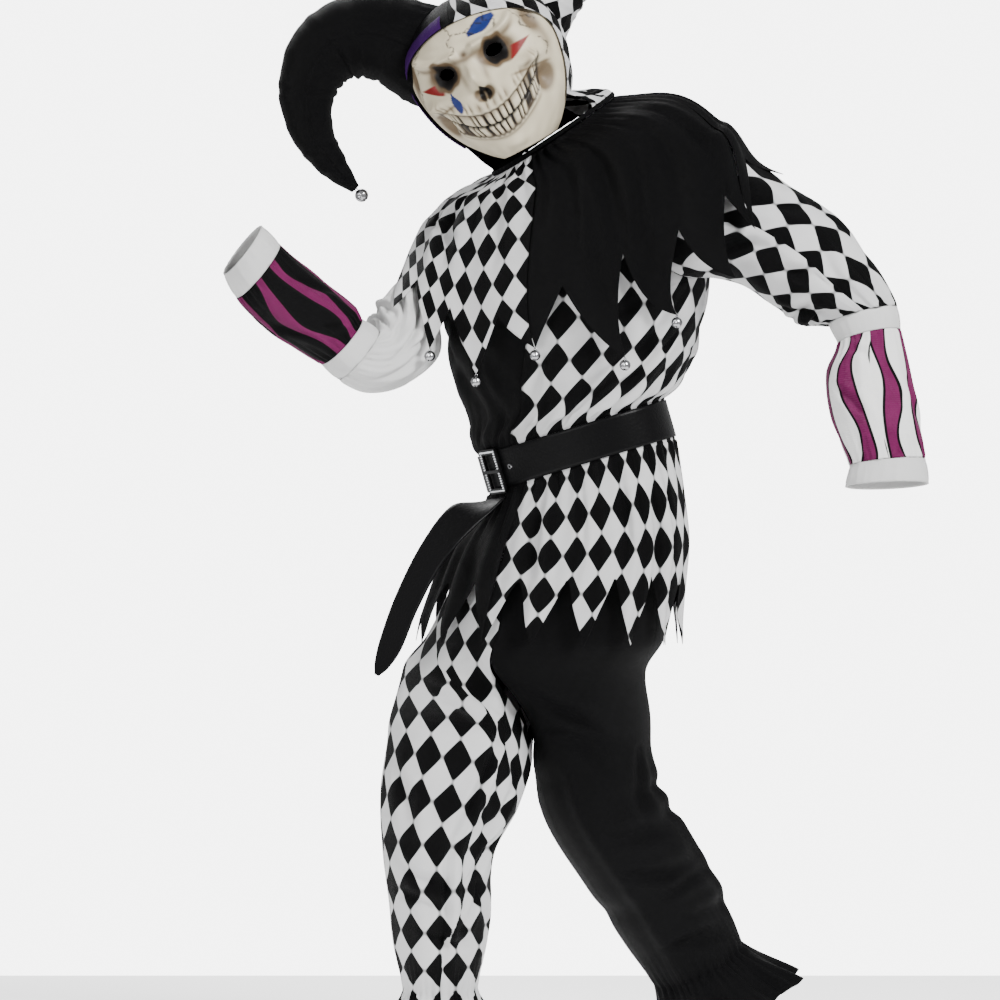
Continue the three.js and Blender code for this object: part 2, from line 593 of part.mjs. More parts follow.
addPiece('belt_buckle', ontoStrap(buckleFrame(), BUCKLE.angle, 2 * SEAM), 'silver');
addPiece('belt_prong', ontoStrap(buckleProng(), BUCKLE.angle, 2 * SEAM), 'silver');
addPiece('belt_eyelet', ontoStrap(eyeletRing(), EYELET.angle, SEAM), 'silver');

// The strap's free end swings out to the wearer's right. 'across' is the direction of its width in the front
// view, and 'face' turns that width away from the front view.
const TAIL = [
  { at: 0, x: -99, y: 64, z: -596, half: 31, across: 12, face: 55 },
  { at: 78, x: -152, y: 20, z: -625, half: 31, across: -36, face: 32 },
  { at: 160, x: -203, y: 0, z: -686, half: 31, across: -36, face: 42 },
  { at: 250, x: -246, y: 4, z: -768, half: 30, across: -29, face: 46 },
  { at: 320, x: -273, y: 10, z: -838, half: 27, across: -24, face: 46 },
  { at: 355, x: -288, y: 14, z: -872, half: 16, across: -24, face: 44 },
  { at: 372, x: -296, y: 16, z: -888, half: 4, across: -24, face: 44 },
];

function tail(share, at) {
  const section = sectionAt(TAIL, at);
  const across = degToRad(section.across);
  const face = degToRad(section.face);
  const width = new THREE.Vector3(Math.cos(across) * Math.cos(face), -Math.sin(face), Math.sin(across) * Math.cos(face));
  return new THREE.Vector3(section.x, section.y, section.z).addScaledVector(width, section.half * share);
}

const TAIL_PLACES = [0, 25, 50, 78, 118, 160, 205, 250, 285, 320, 340, 355, 365, 372];
const tailPlace = (i, j) => [i - 1, TAIL_PLACES[j]];
addPiece('belt_tail', wallOf(tail, tailPlace, 2, TAIL_PLACES.length - 1, { wall: BELT_WALL }), 'vinyl');

// Trousers: the seat down to the crotch, then two legs to the gathered ankle and its frill

const WAISTBAND = { top: 512, bottom: 545, wall: 2.5 };
const innerWaist = movedOut(torso, -CLOTH - SEAM);
const waistPlace = (i, j) => [-180 + (360 * i) / BELT_COLUMNS, j ? WAISTBAND.bottom : WAISTBAND.top];
addPiece('trouser_waistband',
  wallOf(innerWaist, waistPlace, BELT_COLUMNS, 1, { wall: WAISTBAND.wall, round: true }), 'black');

// A section of the seat that lies inside the tunic by 'inside' at a distance down the tunic.
function insideTunic(at, tunicAt, inside) {
  const section = sectionAt(TUNIC, tunicAt);
  return { ...section, at, wide: section.wide - inside, deep: section.deep - inside };
}

const SEAT = [
  insideTunic(0, WAISTBAND.bottom + 1, 4),
  insideTunic(45, 590, 11),
  insideTunic(95, 640, 24),
  { at: 190, x: 8, y: 92, z: -735, wide: 212, deep: 132, turn: 42, pitch: 2, roll: 2 },
  { at: 290, x: -16, y: 90, z: -825, wide: 222, deep: 138, turn: 36, pitch: 0, roll: 0 },
  { at: 350, x: -50, y: 88, z: -882, wide: 224, deep: 130, turn: 31, pitch: 0, roll: 0 },
  { at: 460, x: -34, y: 84, z: -990, wide: 206, deep: 120, turn: 20, pitch: 0, roll: 0 },
];
const CROTCH = 470;
const RISE = 300;             // distance from the waist at which the seat starts to part into legs

const RIGHT_LEG = [
  { at: RISE, x: -152, y: 58, z: -840, wide: 130, deep: 112, heading: -100, toward: 4 },
  { at: CROTCH, x: -157, y: 50, z: -1003, wide: 122, deep: 112, heading: -100, toward: 6 },
  { at: 562, x: -176, y: 36, z: -1094, wide: 113, deep: 105, heading: -98, toward: 3 },
  { at: 645, x: -194, y: 30, z: -1176, wide: 92, deep: 94, heading: -94, toward: 0 },
  { at: 728, x: -191, y: 38, z: -1259, wide: 84, deep: 86, heading: -90, toward: -6 },
  { at: 810, x: -191, y: 50, z: -1341, wide: 75, deep: 76, heading: -88, toward: -6 },
  { at: 868, x: -190, y: 58, z: -1399, wide: 62, deep: 60, heading: -89, toward: -4 },
  { at: 884, x: -190, y: 60, z: -1415, wide: 60, deep: 58, heading: -90, toward: -4 },
  { at: 940, x: -190, y: 63, z: -1471, wide: 92, deep: 88, heading: -90, toward: -2 },
];
const LEFT_LEG = [
  { at: RISE, x: 79, y: 120, z: -840, wide: 104, deep: 110, heading: -94, toward: 2 },
  { at: CROTCH, x: 61, y: 108, z: -1003, wide: 100, deep: 102, heading: -88, toward: -2 },
  { at: 562, x: 82, y: 112, z: -1099, wide: 102, deep: 100, heading: -74, toward: -6 },
  { at: 645, x: 135, y: 132, z: -1190, wide: 97, deep: 96, heading: -61, toward: -14 },
  { at: 752, x: 193, y: 162, z: -1284, wide: 93, deep: 92, heading: -60, toward: -15 },
  { at: 835, x: 236, y: 186, z: -1366, wide: 84, deep: 80, heading: -64, toward: -14 },
  { at: 854, x: 244, y: 190, z: -1382, wide: 82, deep: 78, heading: -64, toward: -12 },
  { at: 940, x: 298, y: 206, z: -1456, wide: 130, deep: 112, heading: -63, toward: -8 },
];
const LEG_ROWS = [0, 45, 95, 190, RISE, 350, 400, 440, CROTCH, 515, 562, 604, 645, 690, 735, 790];
const RIGHT_ANKLE = [840, 868, 884, 912, 940];
const LEFT_ANKLE = [835, 854, 895, 940];
const LEG_COLUMNS = 8;        // for each of the four panels
const LEG_CLEAR = 0.35;       // from the plane between the legs to each leg
const OUTSEAM = { right: -80, left: 112 };   // angle of the outer seam on each leg's rings

// Largest folds of the legs, as shallow troughs across part of the leg.
const LEG_FOLDS = [
  { leg: -1, angle: 60, at: 700, depth: 7, width: 30, tall: 24 },
  { leg: -1, angle: -40, at: 640, depth: 6, width: 40, tall: 20 },
  { leg: -1, angle: 20, at: 790, depth: 6, width: 45, tall: 18 },
  { leg: 1, angle: 80, at: 560, depth: 10, width: 45, tall: 16 },
  { leg: 1, angle: 85, at: 606, depth: 9, width: 50, tall: 15 },
  { leg: 1, angle: -60, at: 700, depth: 6, width: 50, tall: 22 },
  { leg: 1, angle: 20, at: 790, depth: 7, width: 60, tall: 20 },
];

function legFold(leg, angle, at) {
  return LEG_FOLDS.filter((fold) => fold.leg === leg).reduce((sum, fold) => sum
    + fold.depth * Math.exp(-((angleApart(angle, fold.angle) / fold.width) ** 2) - ((at - fold.at) / fold.tall) ** 2), 0);
}

// A leg of the trousers, on the wearer's left (1) or right (-1). The angle runs from the inner seam at the back
// (-180) by the outer seam (0) to the inner seam at the front (180) on the wearer's right leg, and the other way
// round on the left one.
function legPoint(leg, angle, at) {
  const rows = leg > 0 ? LEFT_LEG : RIGHT_LEG;
  const gather = rows[rows.length - 2].at;
  const seat = bodyRing(sectionAt(SEAT, at), leg * 90 + angle / 2);
  const ringAngle = (leg > 0 ? OUTSEAM.left : OUTSEAM.right) + angle;
  const section = sectionAt(rows, at);
  const share = clamp((at - gather + 70) / 70, 0, 1);
  const frill = smoothstep(at, gather, rows[rows.length - 1].at);
  const change = (2.5 * share + 8 * frill) * Math.cos(degToRad(8 * angle)) - legFold(leg, ringAngle, at);
  section.wide += change;
  section.deep += change;
  return seat.lerp(limbRing(section, ringAngle), smoothstep(at, RISE, CROTCH));
}

// The two legs share their middle seam down to the crotch, and neither one crosses the plane between them.
function trouserLeg(leg) {
  return (angle, at) => {
    const point = legPoint(leg, angle, at);
    if (at <= RISE) return point;
    const across = legPoint(-leg, -angle, at).add(point).multiplyScalar(0.5);
    const joined = clamp((at - RISE) / 60, 0, 1) * (1 - smoothstep(at, CROTCH, CROTCH + 50));
    point.lerp(across, smoothstep(Math.abs(angle), 120, 180) * joined);
    const section = sectionAt(SEAT, at);
    const turn = degToRad(section.turn);
    const outwards = new THREE.Vector3(Math.cos(turn), -Math.sin(turn), 0).multiplyScalar(leg);
    const clear = point.clone().sub(new THREE.Vector3(section.x, section.y, 0)).setZ(0).dot(outwards);
    return point.addScaledVector(outwards, Math.max(LEG_CLEAR - clear, 0));
  };
}

function trouserPanel(name, surface, places, from, material) {
  const place = (i, j) => {
    const inset = i === 0 ? 2 * SEAM_ANGLE : i === LEG_COLUMNS ? -2 * SEAM_ANGLE : 0;
    return [from + (180 * i) / LEG_COLUMNS + inset, places[j]];
  };
  addPiece(name, wallOf(surface, place, LEG_COLUMNS, places.length - 1), material);
}

const rightLeg = trouserLeg(-1);
const leftLeg = trouserLeg(1);
trouserPanel('trouser_right_front', rightLeg, [...LEG_ROWS, ...RIGHT_ANKLE], 0, 'harlequin');
trouserPanel('trouser_right_back', rightLeg, [...LEG_ROWS, ...RIGHT_ANKLE], -180, 'harlequin');
trouserPanel('trouser_left_front', leftLeg, [...LEG_ROWS, ...LEFT_ANKLE], -180, 'black');
trouserPanel('trouser_left_back', leftLeg, [...LEG_ROWS, ...LEFT_ANKLE], 0, 'black');

// Head: one form for the hood and the mask, in sections down from the crown

const HEAD = { x: -99, y: -58, z: 98, turn: 13, pitch: 12, roll: 27, top: 143 };
const HEAD_SECTIONS = [
  { at: 0, wide: 3, front: 3, back: 3 },
  { at: 5, wide: 38, front: 34, back: 40 },
  { at: 21, wide: 78, front: 72, back: 84 },
  { at: 53, wide: 112, front: 104, back: 116 },
  { at: 103, wide: 127, front: 116, back: 126 },
  { at: 163, wide: 120, front: 113, back: 112 },
  { at: 213, wide: 99, front: 104, back: 90 },
  { at: 255, wide: 66, front: 88, back: 62 },
  { at: 278, wide: 38, front: 72, back: 42 },
];
const headAxes = (() => {
  const unit = { x: 0, y: 0, z: 0, wide: 1, deep: 1, turn: HEAD.turn, pitch: HEAD.pitch, roll: HEAD.roll };
  const front = bodyRing(unit, 0);
  const left = bodyRing(unit, 90);
  return { front, left, up: front.clone().cross(left).normalize() };
})();

function head(angle, at) {
  const section = sectionAt(HEAD_SECTIONS, at);
  const cosine = Math.cos(degToRad(angle));
  return new THREE.Vector3(HEAD.x, HEAD.y, HEAD.z)
    .addScaledVector(headAxes.up, HEAD.top - at)
    .addScaledVector(headAxes.left, section.wide * Math.sin(degToRad(angle)))
    .addScaledVector(headAxes.front, (cosine > 0 ? section.front : section.back) * cosine);
}

// Relief of the skull, on both sides of the face: bumps (+) and hollows (-).
const SKULL = [
  { angle: 23, at: 102, depth: -15, width: 13, tall: 20 },   // eye socket
  { angle: 22, at: 70, depth: 6, width: 16, tall: 11 },      // brow
  { angle: 0, at: 118, depth: 4, width: 7, tall: 16 },       // bridge of the nose
  { angle: 3, at: 156, depth: -6, width: 6, tall: 13 },      // nose opening
  { angle: 42, at: 142, depth: 8, width: 14, tall: 13 },     // cheekbone
  { angle: 54, at: 186, depth: -7, width: 12, tall: 17 },    // hollow cheek
  { angle: 12, at: 200, depth: 4, width: 24, tall: 19 },     // teeth
  { angle: 64, at: 90, depth: -5, width: 9, tall: 22 },      // temple
  { angle: 8, at: 250, depth: 3, width: 15, tall: 12 },      // chin
];

function skull(angle, at) {
  const relief = SKULL.reduce((sum, f) => sum + f.depth * Math.exp(-(((at - f.at) / f.tall) ** 2))
    * (Math.exp(-(((angle - f.angle) / f.width) ** 2)) + Math.exp(-(((angle + f.angle) / f.width) ** 2))), 0);
  const flatEdge = 1 - smoothstep(Math.abs(angle), 66, 78);
  return head(angle, at).addScaledVector(normalAt(head, angle, at), relief * flatEdge);
}

const MASK = { edge: 88, top: 33, columns: 18 };
const MASK_ROWS = [MASK.top, 48, 62, 76, 89, 102, 115, 129, 144, 160, 178, 200, 225, 248, 270];
const EYE = { angle: 23, at: 102, wide: 15, tall: 11, reach: 40 };

function mask() {
  const place = (i, j) => [MASK.edge * ((2 * i) / MASK.columns - 1), MASK_ROWS[j]];
  let solid = toManifold(wallOf(skull, place, MASK.columns, MASK_ROWS.length - 1, { wall: MASK_WALL }));
  for (const side of [-1, 1]) {
    const hole = new THREE.SphereGeometry(1, 12, 8);
    const centre = skull(side * EYE.angle, EYE.at);
    hole.scale(EYE.wide, EYE.tall, EYE.reach);
    hole.applyMatrix4(new THREE.Matrix4()
      .makeBasis(headAxes.left, headAxes.up, headAxes.left.clone().cross(headAxes.up))
      .setPosition(centre));
    solid = solid.subtract(toManifold(hole));
  }
  addPiece('mask', fromManifold(solid), 'bone');
}

mask();

// Hood: two halves from the edge round the face to the seam at the back, down into the neck

const HOOD_LIFT = CLOTH + 2.7;
const FACE = { top: 36, widest: 130, angle: 80 };
const HOOD_ROWS = [2, 12, 24, FACE.top, 37.5, 40, 44, 50, 58, 70, 90, 110, FACE.widest, 155, 180, 205, 222];
const NECK_STEPS = 4;
const NECK_EDGE_ANGLE = 64;   // where the hood ends at the neck, to each side of the chin
const HOOD_COLUMNS = 10;
const HOOD_NECK = { ...TUNIC[0], wide: TUNIC[0].wide - 1.5, deep: TUNIC[0].deep - 1.5 };
const HOOD_COLLAR = { top: 14, bottom: 2.5 };   // the hood stands upright in the neck binding between these
const hoodForm = movedOut(head, HOOD_LIFT);
const HOOD_JAW = HOOD_ROWS[HOOD_ROWS.length - 1];
const HOOD_LENGTH = HOOD_JAW + 60;

function hood(angle, at) {
  const onHead = hoodForm(angle, Math.min(at, HOOD_JAW));
  if (at <= HOOD_JAW) return onHead;
  const share = (at - HOOD_JAW) / (HOOD_LENGTH - HOOD_JAW);
  const neck = (lift) => bodyRing(HOOD_NECK, angle).addScaledVector(neckUp, lift);
  if (share < 0.75) return onHead.lerp(neck(HOOD_COLLAR.top), share / 0.75);
  return neck(HOOD_COLLAR.top + (HOOD_COLLAR.bottom - HOOD_COLLAR.top) * (share - 0.75) / 0.25);
}

function faceEdge(at) {
  if (at <= FACE.top) return 0;
  if (at > HOOD_JAW) return FACE.angle + ((NECK_EDGE_ANGLE - FACE.angle) * (at - HOOD_JAW)) / (HOOD_LENGTH - HOOD_JAW);
  const rise = Math.max(FACE.widest - at, 0) / (FACE.widest - FACE.top);
  return FACE.angle * Math.sqrt(1 - rise * rise);
}

function hoodHalf(name, side, material) {
  const last = HOOD_ROWS.length - 1;
  const place = (i, j) => {
    const at = j <= last ? HOOD_ROWS[j] : HOOD_JAW + ((HOOD_LENGTH - HOOD_JAW) * (j - last)) / NECK_STEPS;
    const inset = THREE.MathUtils.radToDeg(SEAM / 2 / sectionAt(HEAD_SECTIONS, Math.min(at, HOOD_JAW)).wide);
    const from = faceEdge(at) + inset;
    const to = 180 - inset;
    const column = side > 0 ? i : HOOD_COLUMNS - i;
    return [side * (from + ((to - from) * column) / HOOD_COLUMNS), at];
  };
  addPiece(name, wallOf(hood, place, HOOD_COLUMNS, last + NECK_STEPS), material);
}

hoodHalf('hood_right', -1, 'black');
hoodHalf('hood_left', 1, 'harlequin');

// Purple binding along the hood's edge, on the wearer's right
const EDGING = { wide: 9, angle: 5, steps: 20, wall: 1.2, lift: 1.2 };

// The edging, or with 'grown' the space round it that the horn leaves free.
function edgingWall(grown) {
  const form = movedOut(head, HOOD_LIFT + EDGING.lift + EDGING.wall + grown);
  const surface = (across, along) => {
    const swing = degToRad(90 * Math.min(along, 1));
    const at = FACE.widest - (FACE.widest - FACE.top + EDGING.wide * (1 - across)) * Math.cos(swing);
    const angle = -(FACE.angle + EDGING.angle * (1 - across)) * Math.sin(swing);
    return form(angle, at + (HOOD_JAW - FACE.widest) * Math.max(along - 1, 0));
  };
  const overhang = grown / EDGING.wide;
  const place = (i, j) => [i * (1 + 2 * overhang) - overhang, 0.08 - grown / 200 + ((1.92 + grown / 100) * j) / EDGING.steps];
  return wallOf(surface, place, 1, EDGING.steps, { wall: EDGING.wall + 2 * grown });
}

addPiece('hood_edging', edgingWall(0), 'purple');

// Stuffed horns, cut to the hood, each with a bell at its tip

const RIGHT_HORN = [
  { at: 0, x: -150, y: -10, z: 118, wide: 82, deep: 70, heading: 168, toward: 6 },
  { at: 75, x: -223, y: -22, z: 136, wide: 84, deep: 70, heading: 170, toward: 8 },
  { at: 160, x: -305, y: -46, z: 163, wide: 72, deep: 65, heading: 185, toward: 3 },
  { at: 240, x: -377, y: -50, z: 138, wide: 61, deep: 56, heading: 222, toward: 3 },
  { at: 320, x: -408, y: -54, z: 70, wide: 47, deep: 44, heading: 262, toward: 3 },
  { at: 388, x: -399, y: -58, z: 3, wide: 35, deep: 33, heading: 285, toward: 2 },
  { at: 452, x: -365, y: -60, z: -50, wide: 24, deep: 23, heading: 305, toward: 0 },
  { at: 505, x: -328, y: -60, z: -89, wide: 8, deep: 8, heading: 314, toward: 0 },
];
const LEFT_HORN = [
  { at: 0, x: -78, y: -30, z: 150, wide: 84, deep: 78, heading: 66, toward: 0 },
  { at: 90, x: -38, y: -12, z: 232, wide: 80, deep: 74, heading: 62, toward: -8 },
  { at: 180, x: 24, y: 4, z: 300, wide: 67, deep: 62, heading: 40, toward: -8 },
  { at: 262, x: 98, y: 14, z: 338, wide: 52, deep: 48, heading: 12, toward: -5 },
  { at: 340, x: 172, y: 18, z: 334, wide: 37, deep: 34, heading: -18, toward: -2 },
  { at: 395, x: 218, y: 20, z: 308, wide: 24, deep: 22, heading: -42, toward: 0 },
  { at: 440, x: 246, y: 20, z: 276, wide: 8, deep: 8, heading: -52, toward: 0 },
];
const HORN = { sides: 14, steps: 13 };

// The head's form, swollen to the outside of the hood, that the horns are cut with.
function headCutter() {
  const form = movedOut(head, HOOD_LIFT + 3 * SEAM);
  const rings = [0.5, 5, 12, 20, 28, 38, 50, 64, 80, 97, 114, 131, 148, 165, 185, 205, 222]
    .map((at) => evenly(0, 360, 44).slice(0, -1).map((angle) => form(angle, at)));
  return toManifold(solidThrough(rings));
}

function horn(name, rows, material) {
  const end = rows[rows.length - 1].at;
  const rings = evenly(0, end, HORN.steps).map((at) => {
    const section = sectionAt(rows, at);
    return evenly(0, 360, HORN.sides).slice(0, -1).map((angle) => limbRing(section, angle));
  });
  const solid = toManifold(solidThrough(rings)).subtract(headCutter()).subtract(toManifold(edgingWall(SEAM)));
  const pieces = solid.decompose().sort((a, b) => b.volume() - a.volume());
  addPiece(name, fromManifold(pieces[0]), material);
  const tip = rows[rows.length - 1];
  const heading = degToRad(tip.heading);
  const direction = new THREE.Vector3(Math.cos(heading), 0, Math.sin(heading));
  bell(name.replace('horn', 'horn_bell'), new THREE.Vector3(tip.x, tip.y, tip.z), direction, HOOD_BELL_RADIUS);
}

horn('horn_right', RIGHT_HORN, 'black');
horn('horn_left', LEFT_HORN, 'harlequin');

export default costume;
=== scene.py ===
# Jester costume in its worn form: thin cloth over the imported frame, with its belt, bells, hood and mask.
# Tables are in millimetres, +Z up, with the front towards -Y and the wearer's left towards +X.
# Every cloth piece is a grid on a surface of two parameters, with creases placed one by one.

import bpy
import numpy as np
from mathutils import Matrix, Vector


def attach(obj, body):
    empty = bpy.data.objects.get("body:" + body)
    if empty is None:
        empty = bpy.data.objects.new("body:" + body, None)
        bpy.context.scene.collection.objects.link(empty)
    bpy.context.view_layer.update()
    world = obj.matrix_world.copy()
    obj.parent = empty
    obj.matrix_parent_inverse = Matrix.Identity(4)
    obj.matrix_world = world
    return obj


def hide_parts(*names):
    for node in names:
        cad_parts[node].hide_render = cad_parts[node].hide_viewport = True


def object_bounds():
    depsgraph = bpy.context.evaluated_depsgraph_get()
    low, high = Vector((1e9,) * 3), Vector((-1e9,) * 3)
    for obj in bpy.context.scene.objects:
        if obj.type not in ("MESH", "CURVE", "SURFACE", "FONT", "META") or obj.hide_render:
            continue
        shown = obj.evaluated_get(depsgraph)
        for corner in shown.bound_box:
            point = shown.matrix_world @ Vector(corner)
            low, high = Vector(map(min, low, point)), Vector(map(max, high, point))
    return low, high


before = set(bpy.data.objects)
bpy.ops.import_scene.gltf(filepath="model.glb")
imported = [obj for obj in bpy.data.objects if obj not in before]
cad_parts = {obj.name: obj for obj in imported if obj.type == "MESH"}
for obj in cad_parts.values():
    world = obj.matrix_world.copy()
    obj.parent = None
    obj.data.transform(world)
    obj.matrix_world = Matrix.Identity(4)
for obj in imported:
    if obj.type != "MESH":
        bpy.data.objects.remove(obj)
packed_low, packed_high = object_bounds()

MM = 0.001
# Wall thickness of the cloth, the stretched bands and the vinyl strap
CLOTH, BAND_WALL, STRAP_WALL = 1.2, 2.0, 2.5
# Gap between two pieces, and the same as degrees along the tunic's seams
SEAM = 0.3
SEAM_ANGLE = 0.07
DAG_STEP = 22.5
# Gap at an armhole and beside a stretched band
RING_SEAM = 0.7
# Degrees left free along a side seam of the cape and of the trousers
SIDE_SEAM = 0.14
SLEEVE_START, LEFT_SLEEVE_END, RIGHT_SLEEVE_END = 2, 319.7, 274.6
STRAP_TOP, STRAP_BOTTOM, STRAP_MIDDLE = 501, 562, 531.5
# How far the cape stands off the tunic, and the waistband inside it
LAYER = 1.8
EYE_ANGLE = 23


def named(columns, rows):
    """Rows of numbers as named columns."""
    return dict(zip(columns.split(), np.array(rows, float).T))


def table(text):
    """The same, from lines of text under a line of names."""
    columns, *rows = text.strip().splitlines()
    return named(columns, [row.split() for row in rows])


# Sizes of the worn pieces, section by section

TUNIC = table("""at x y z wide deep turn pitch roll
0 0 0 0 117 84 30 24 28
100 30 15 -53 246 118 30 20 15
200 30 30 -170 250 148 30 16 9
300 36 45 -269 240 156 32 14 6
380 35 62 -351 229 155 36 14 6
450 41 76 -420 212 152 42 14 9
500 27 88 -479 187 132 50 13 11
563 45 93 -541 187 132 50 13 11
690 22 95 -665 242 154 45 5 4
820 -6 95 -790 254 164 42 0 0
880 -12 95 -848 260 170 42 0 0
""")
GATHERS = table("""angle depth width
-168 6 9
-146 4 7
-124 7 9
-101 5 8
-79 7 8
-57 4 7
-34 7 9
-11 5 7
11 6 8
34 8 9
57 5 7
79 8 9
101 5 8
124 7 9
146 4 7
168 6 8
""")
LEFT_SLEEVE = table("""at x y z wide deep heading toward
0 264 -95 -126 112 96 -20 6
110 335 -100 -162 89 84 -23 6
190 404 -112 -208 86 82 -33 6
260 454 -120 -257 77 76 -46 6
320 500 -126 -299 58 58 -76 8
""")
LEFT_ARM = table("""at x y z wide deep heading toward
0 500 -126 -299 58 56 -76 8
35 510 -130 -334 53 52 -78 10
92 508 -138 -391 67 62 -88 10
158 518 -148 -455 69 64 -85 8
200 528 -154 -497 66 62 -83 6
240 538 -158 -538 62 58 -85 6
278 537 -162 -575 68 63 -88 6
""")
RIGHT_SLEEVE = table("""at x y z wide deep heading toward
0 -240 108 -240 72 76 192 20
90 -230 52 -297 76 68 189 36
180 -264 0 -337 70 72 186 42
240 -300 -46 -361 61 64 163 30
275 -323 -68 -361 52 54 140 12
""")
RIGHT_ARM = table("""at x y z wide deep heading toward
0 -323 -68 -361 52 54 140 12
36 -351 -77 -339 50 51 138 14
60 -368 -84 -323 56 56 136 15
125 -419 -103 -287 59 58 137 15
182 -462 -120 -251 59 57 139 14
218 -485 -130 -226 56 54 141 13
262 -510 -142 -192 50 49 142 12
""")
CAPE = table("""angle midX midY midZ tipX tipY tipZ notch
-180 110 168 -130 125 194 -262 0.74
-157.5 14 207 -150 40 236 -274 0.74
-135 -78 220 -170 -48 250 -290 0.74
-112.5 -152 208 -190 -128 238 -302 0.74
-90 -231 158 -182 -272 140 -268 0.74
-67.5 -236 64 -186 -268 -60 -284 0.76
-45 -200 -16 -214 -206 -74 -351 0.76
-22.5 -132 -62 -235 -130 -66 -393 0.8
0 -46 -112 -210 -34 -98 -351 0.72
22.5 62 -152 -200 112 -148 -368 0.65
45 150 -166 -165 196 -158 -299 0.66
67.5 238 -188 -118 290 -206 -239 0.7
90 290 -160 -44 322 -214 -160 0.7
112.5 308 -82 -17 371 -110 -68 0.72
135 282 10 -24 352 2 -118 0.74
157.5 192 110 -105 220 132 -232 0.74
180 110 168 -130 125 194 -262 0.74
""")
TAIL = table("""at x y z half across face
0 -99 64 -596 31 12 55
78 -152 20 -625 31 -36 32
160 -203 0 -686 31 -36 42
250 -246 4 -768 30 -29 46
320 -273 10 -838 27 -24 46
355 -288 14 -872 16 -24 44
372 -296 16 -888 4 -24 44
""")
RIGHT_LEG = table("""at x y z wide deep heading toward
300 -152 58 -840 130 112 -100 4
470 -157 50 -1003 122 112 -100 6
562 -176 36 -1094 113 105 -98 3
645 -194 30 -1176 92 94 -94 0
728 -191 38 -1259 84 86 -90 -6
810 -191 50 -1341 75 76 -88 -6
868 -190 58 -1399 62 60 -89 -4
884 -190 60 -1415 60 58 -90 -4
940 -190 63 -1471 92 88 -90 -2
""")
LEFT_LEG = table("""at x y z wide deep heading toward
300 79 120 -840 104 110 -94 2
470 61 108 -1003 100 102 -88 -2
562 82 112 -1099 102 100 -74 -6
645 135 132 -1190 97 96 -61 -14
752 193 162 -1284 93 92 -60 -15
835 236 186 -1366 84 80 -64 -14
854 244 190 -1382 82 78 -64 -12
940 298 206 -1456 130 112 -63 -8
""")
HEAD_SECTIONS = table("""at wide front back
0 3 3 3
5 38 34 40
21 78 72 84
53 112 104 116
103 127 116 126
163 120 113 112
213 99 104 90
255 66 88 62
278 38 72 42
""")
RIGHT_HORN = table("""at x y z wide deep heading toward
0 -150 -10 118 82 70 168 6
75 -223 -22 136 84 70 170 8
160 -305 -46 163 72 65 185 3
240 -377 -50 138 61 56 222 3
320 -408 -54 70 47 44 262 3
388 -399 -58 3 35 33 285 2
452 -365 -60 -50 24 23 305 0
505 -328 -60 -89 8 8 314 0
""")
LEFT_HORN = table("""at x y z wide deep heading toward
0 -78 -30 150 84 78 66 0
90 -38 -12 232 80 74 62 -8
180 24 4 300 67 62 40 -8
262 98 14 338 52 48 12 -5
340 172 18 334 37 34 -18 -2
395 218 20 308 24 22 -42 0
440 246 20 276 8 8 -52 0
""")

# leg, angle, at, depth, width, tall
LEG_FOLDS = (
    (-1, 60, 700, 7, 30, 24),
    (-1, -40, 640, 6, 40, 20),
    (-1, 20, 790, 6, 45, 18),
    (1, 80, 560, 10, 45, 16),
    (1, 85, 606, 9, 50, 15),
    (1, -60, 700, 6, 50, 22),
    (1, 20, 790, 7, 60, 20),
)

BELT_TOP, BELT_BOTTOM = 500, 563
HEM_TIP, HEM_NOTCH = 868, 752
ARMHOLE_AT, ARMHOLE_HEIGHT, ARMHOLE_ANGLE = 195, 95, 38
SLEEVE_HEAD = 14
CAPE_SHOULDER, CAPE_MIDDLE, CAPE_LIFT, CAPE_LENGTH = 0.3, 0.62, 14, 380
WAISTBAND_TOP, RISE, CROTCH, LEG_END, LEG_CLEAR = 512, 300, 470, 940, 0.35
LEG_GATHER = {1: 854, -1: 884}
OUTSEAM = {1: 112, -1: -80}
HEAD = {"x": -99, "y": -58, "z": 98, "turn": 13, "pitch": 12, "roll": 27, "top": 143}
HOOD_LIFT = 4.2
FACE_TOP, FACE_WIDEST, FACE_ANGLE = 36, 130, 80
HOOD_JAW, HOOD_LENGTH, NECK_EDGE_ANGLE = 222, 282, 64


# Sections and surfaces

def smooth(value, low, high):
    share = np.clip((np.asarray(value, float) - low) / (high - low), 0, 1)
    return share * share * (3 - 2 * share)


def hump(distance, width):
    return np.exp(-(distance / width) ** 2)


def vec(x, y, z):
    return np.stack(np.broadcast_arrays(x, y, z), axis=-1).astype(float)


def times(vector, factor):
    return vector * np.asarray(factor, float)[..., None]


def alike(a, b):
    """Both values as arrays of one shape."""
    return np.broadcast_arrays(np.asarray(a, float), np.asarray(b, float))


def unit(vector):
    return vector / np.maximum(np.linalg.norm(vector, axis=-1, keepdims=True), 1e-9)


def section_at(rows, at):
    """One section of a table, on smooth curves through its rows."""
    knots = rows["at"]
    at = np.asarray(at, float)
    low = np.clip(np.searchsorted(knots, at) - 1, 0, len(knots) - 2)
    high = low + 1
    before = np.maximum(low - 1, 0)
    after = np.minimum(low + 2, len(knots) - 1)
    span = knots[high] - knots[low]
    k = np.clip((at - knots[low]) / span, 0, 1)
    section = {}
    for name, values in rows.items():
        start = (values[high] - values[before]) / (knots[high] - knots[before]) * span
        end = (values[after] - values[low]) / (knots[after] - knots[low]) * span
        drop = values[low] - values[high]
        bend = -3 * drop - 2 * start - end + k * (2 * drop + start + end)
        section[name] = values[low] + k * (start + k * bend)
    return section


def centre_of(section):
    return vec(section["x"], section["y"], section["z"])


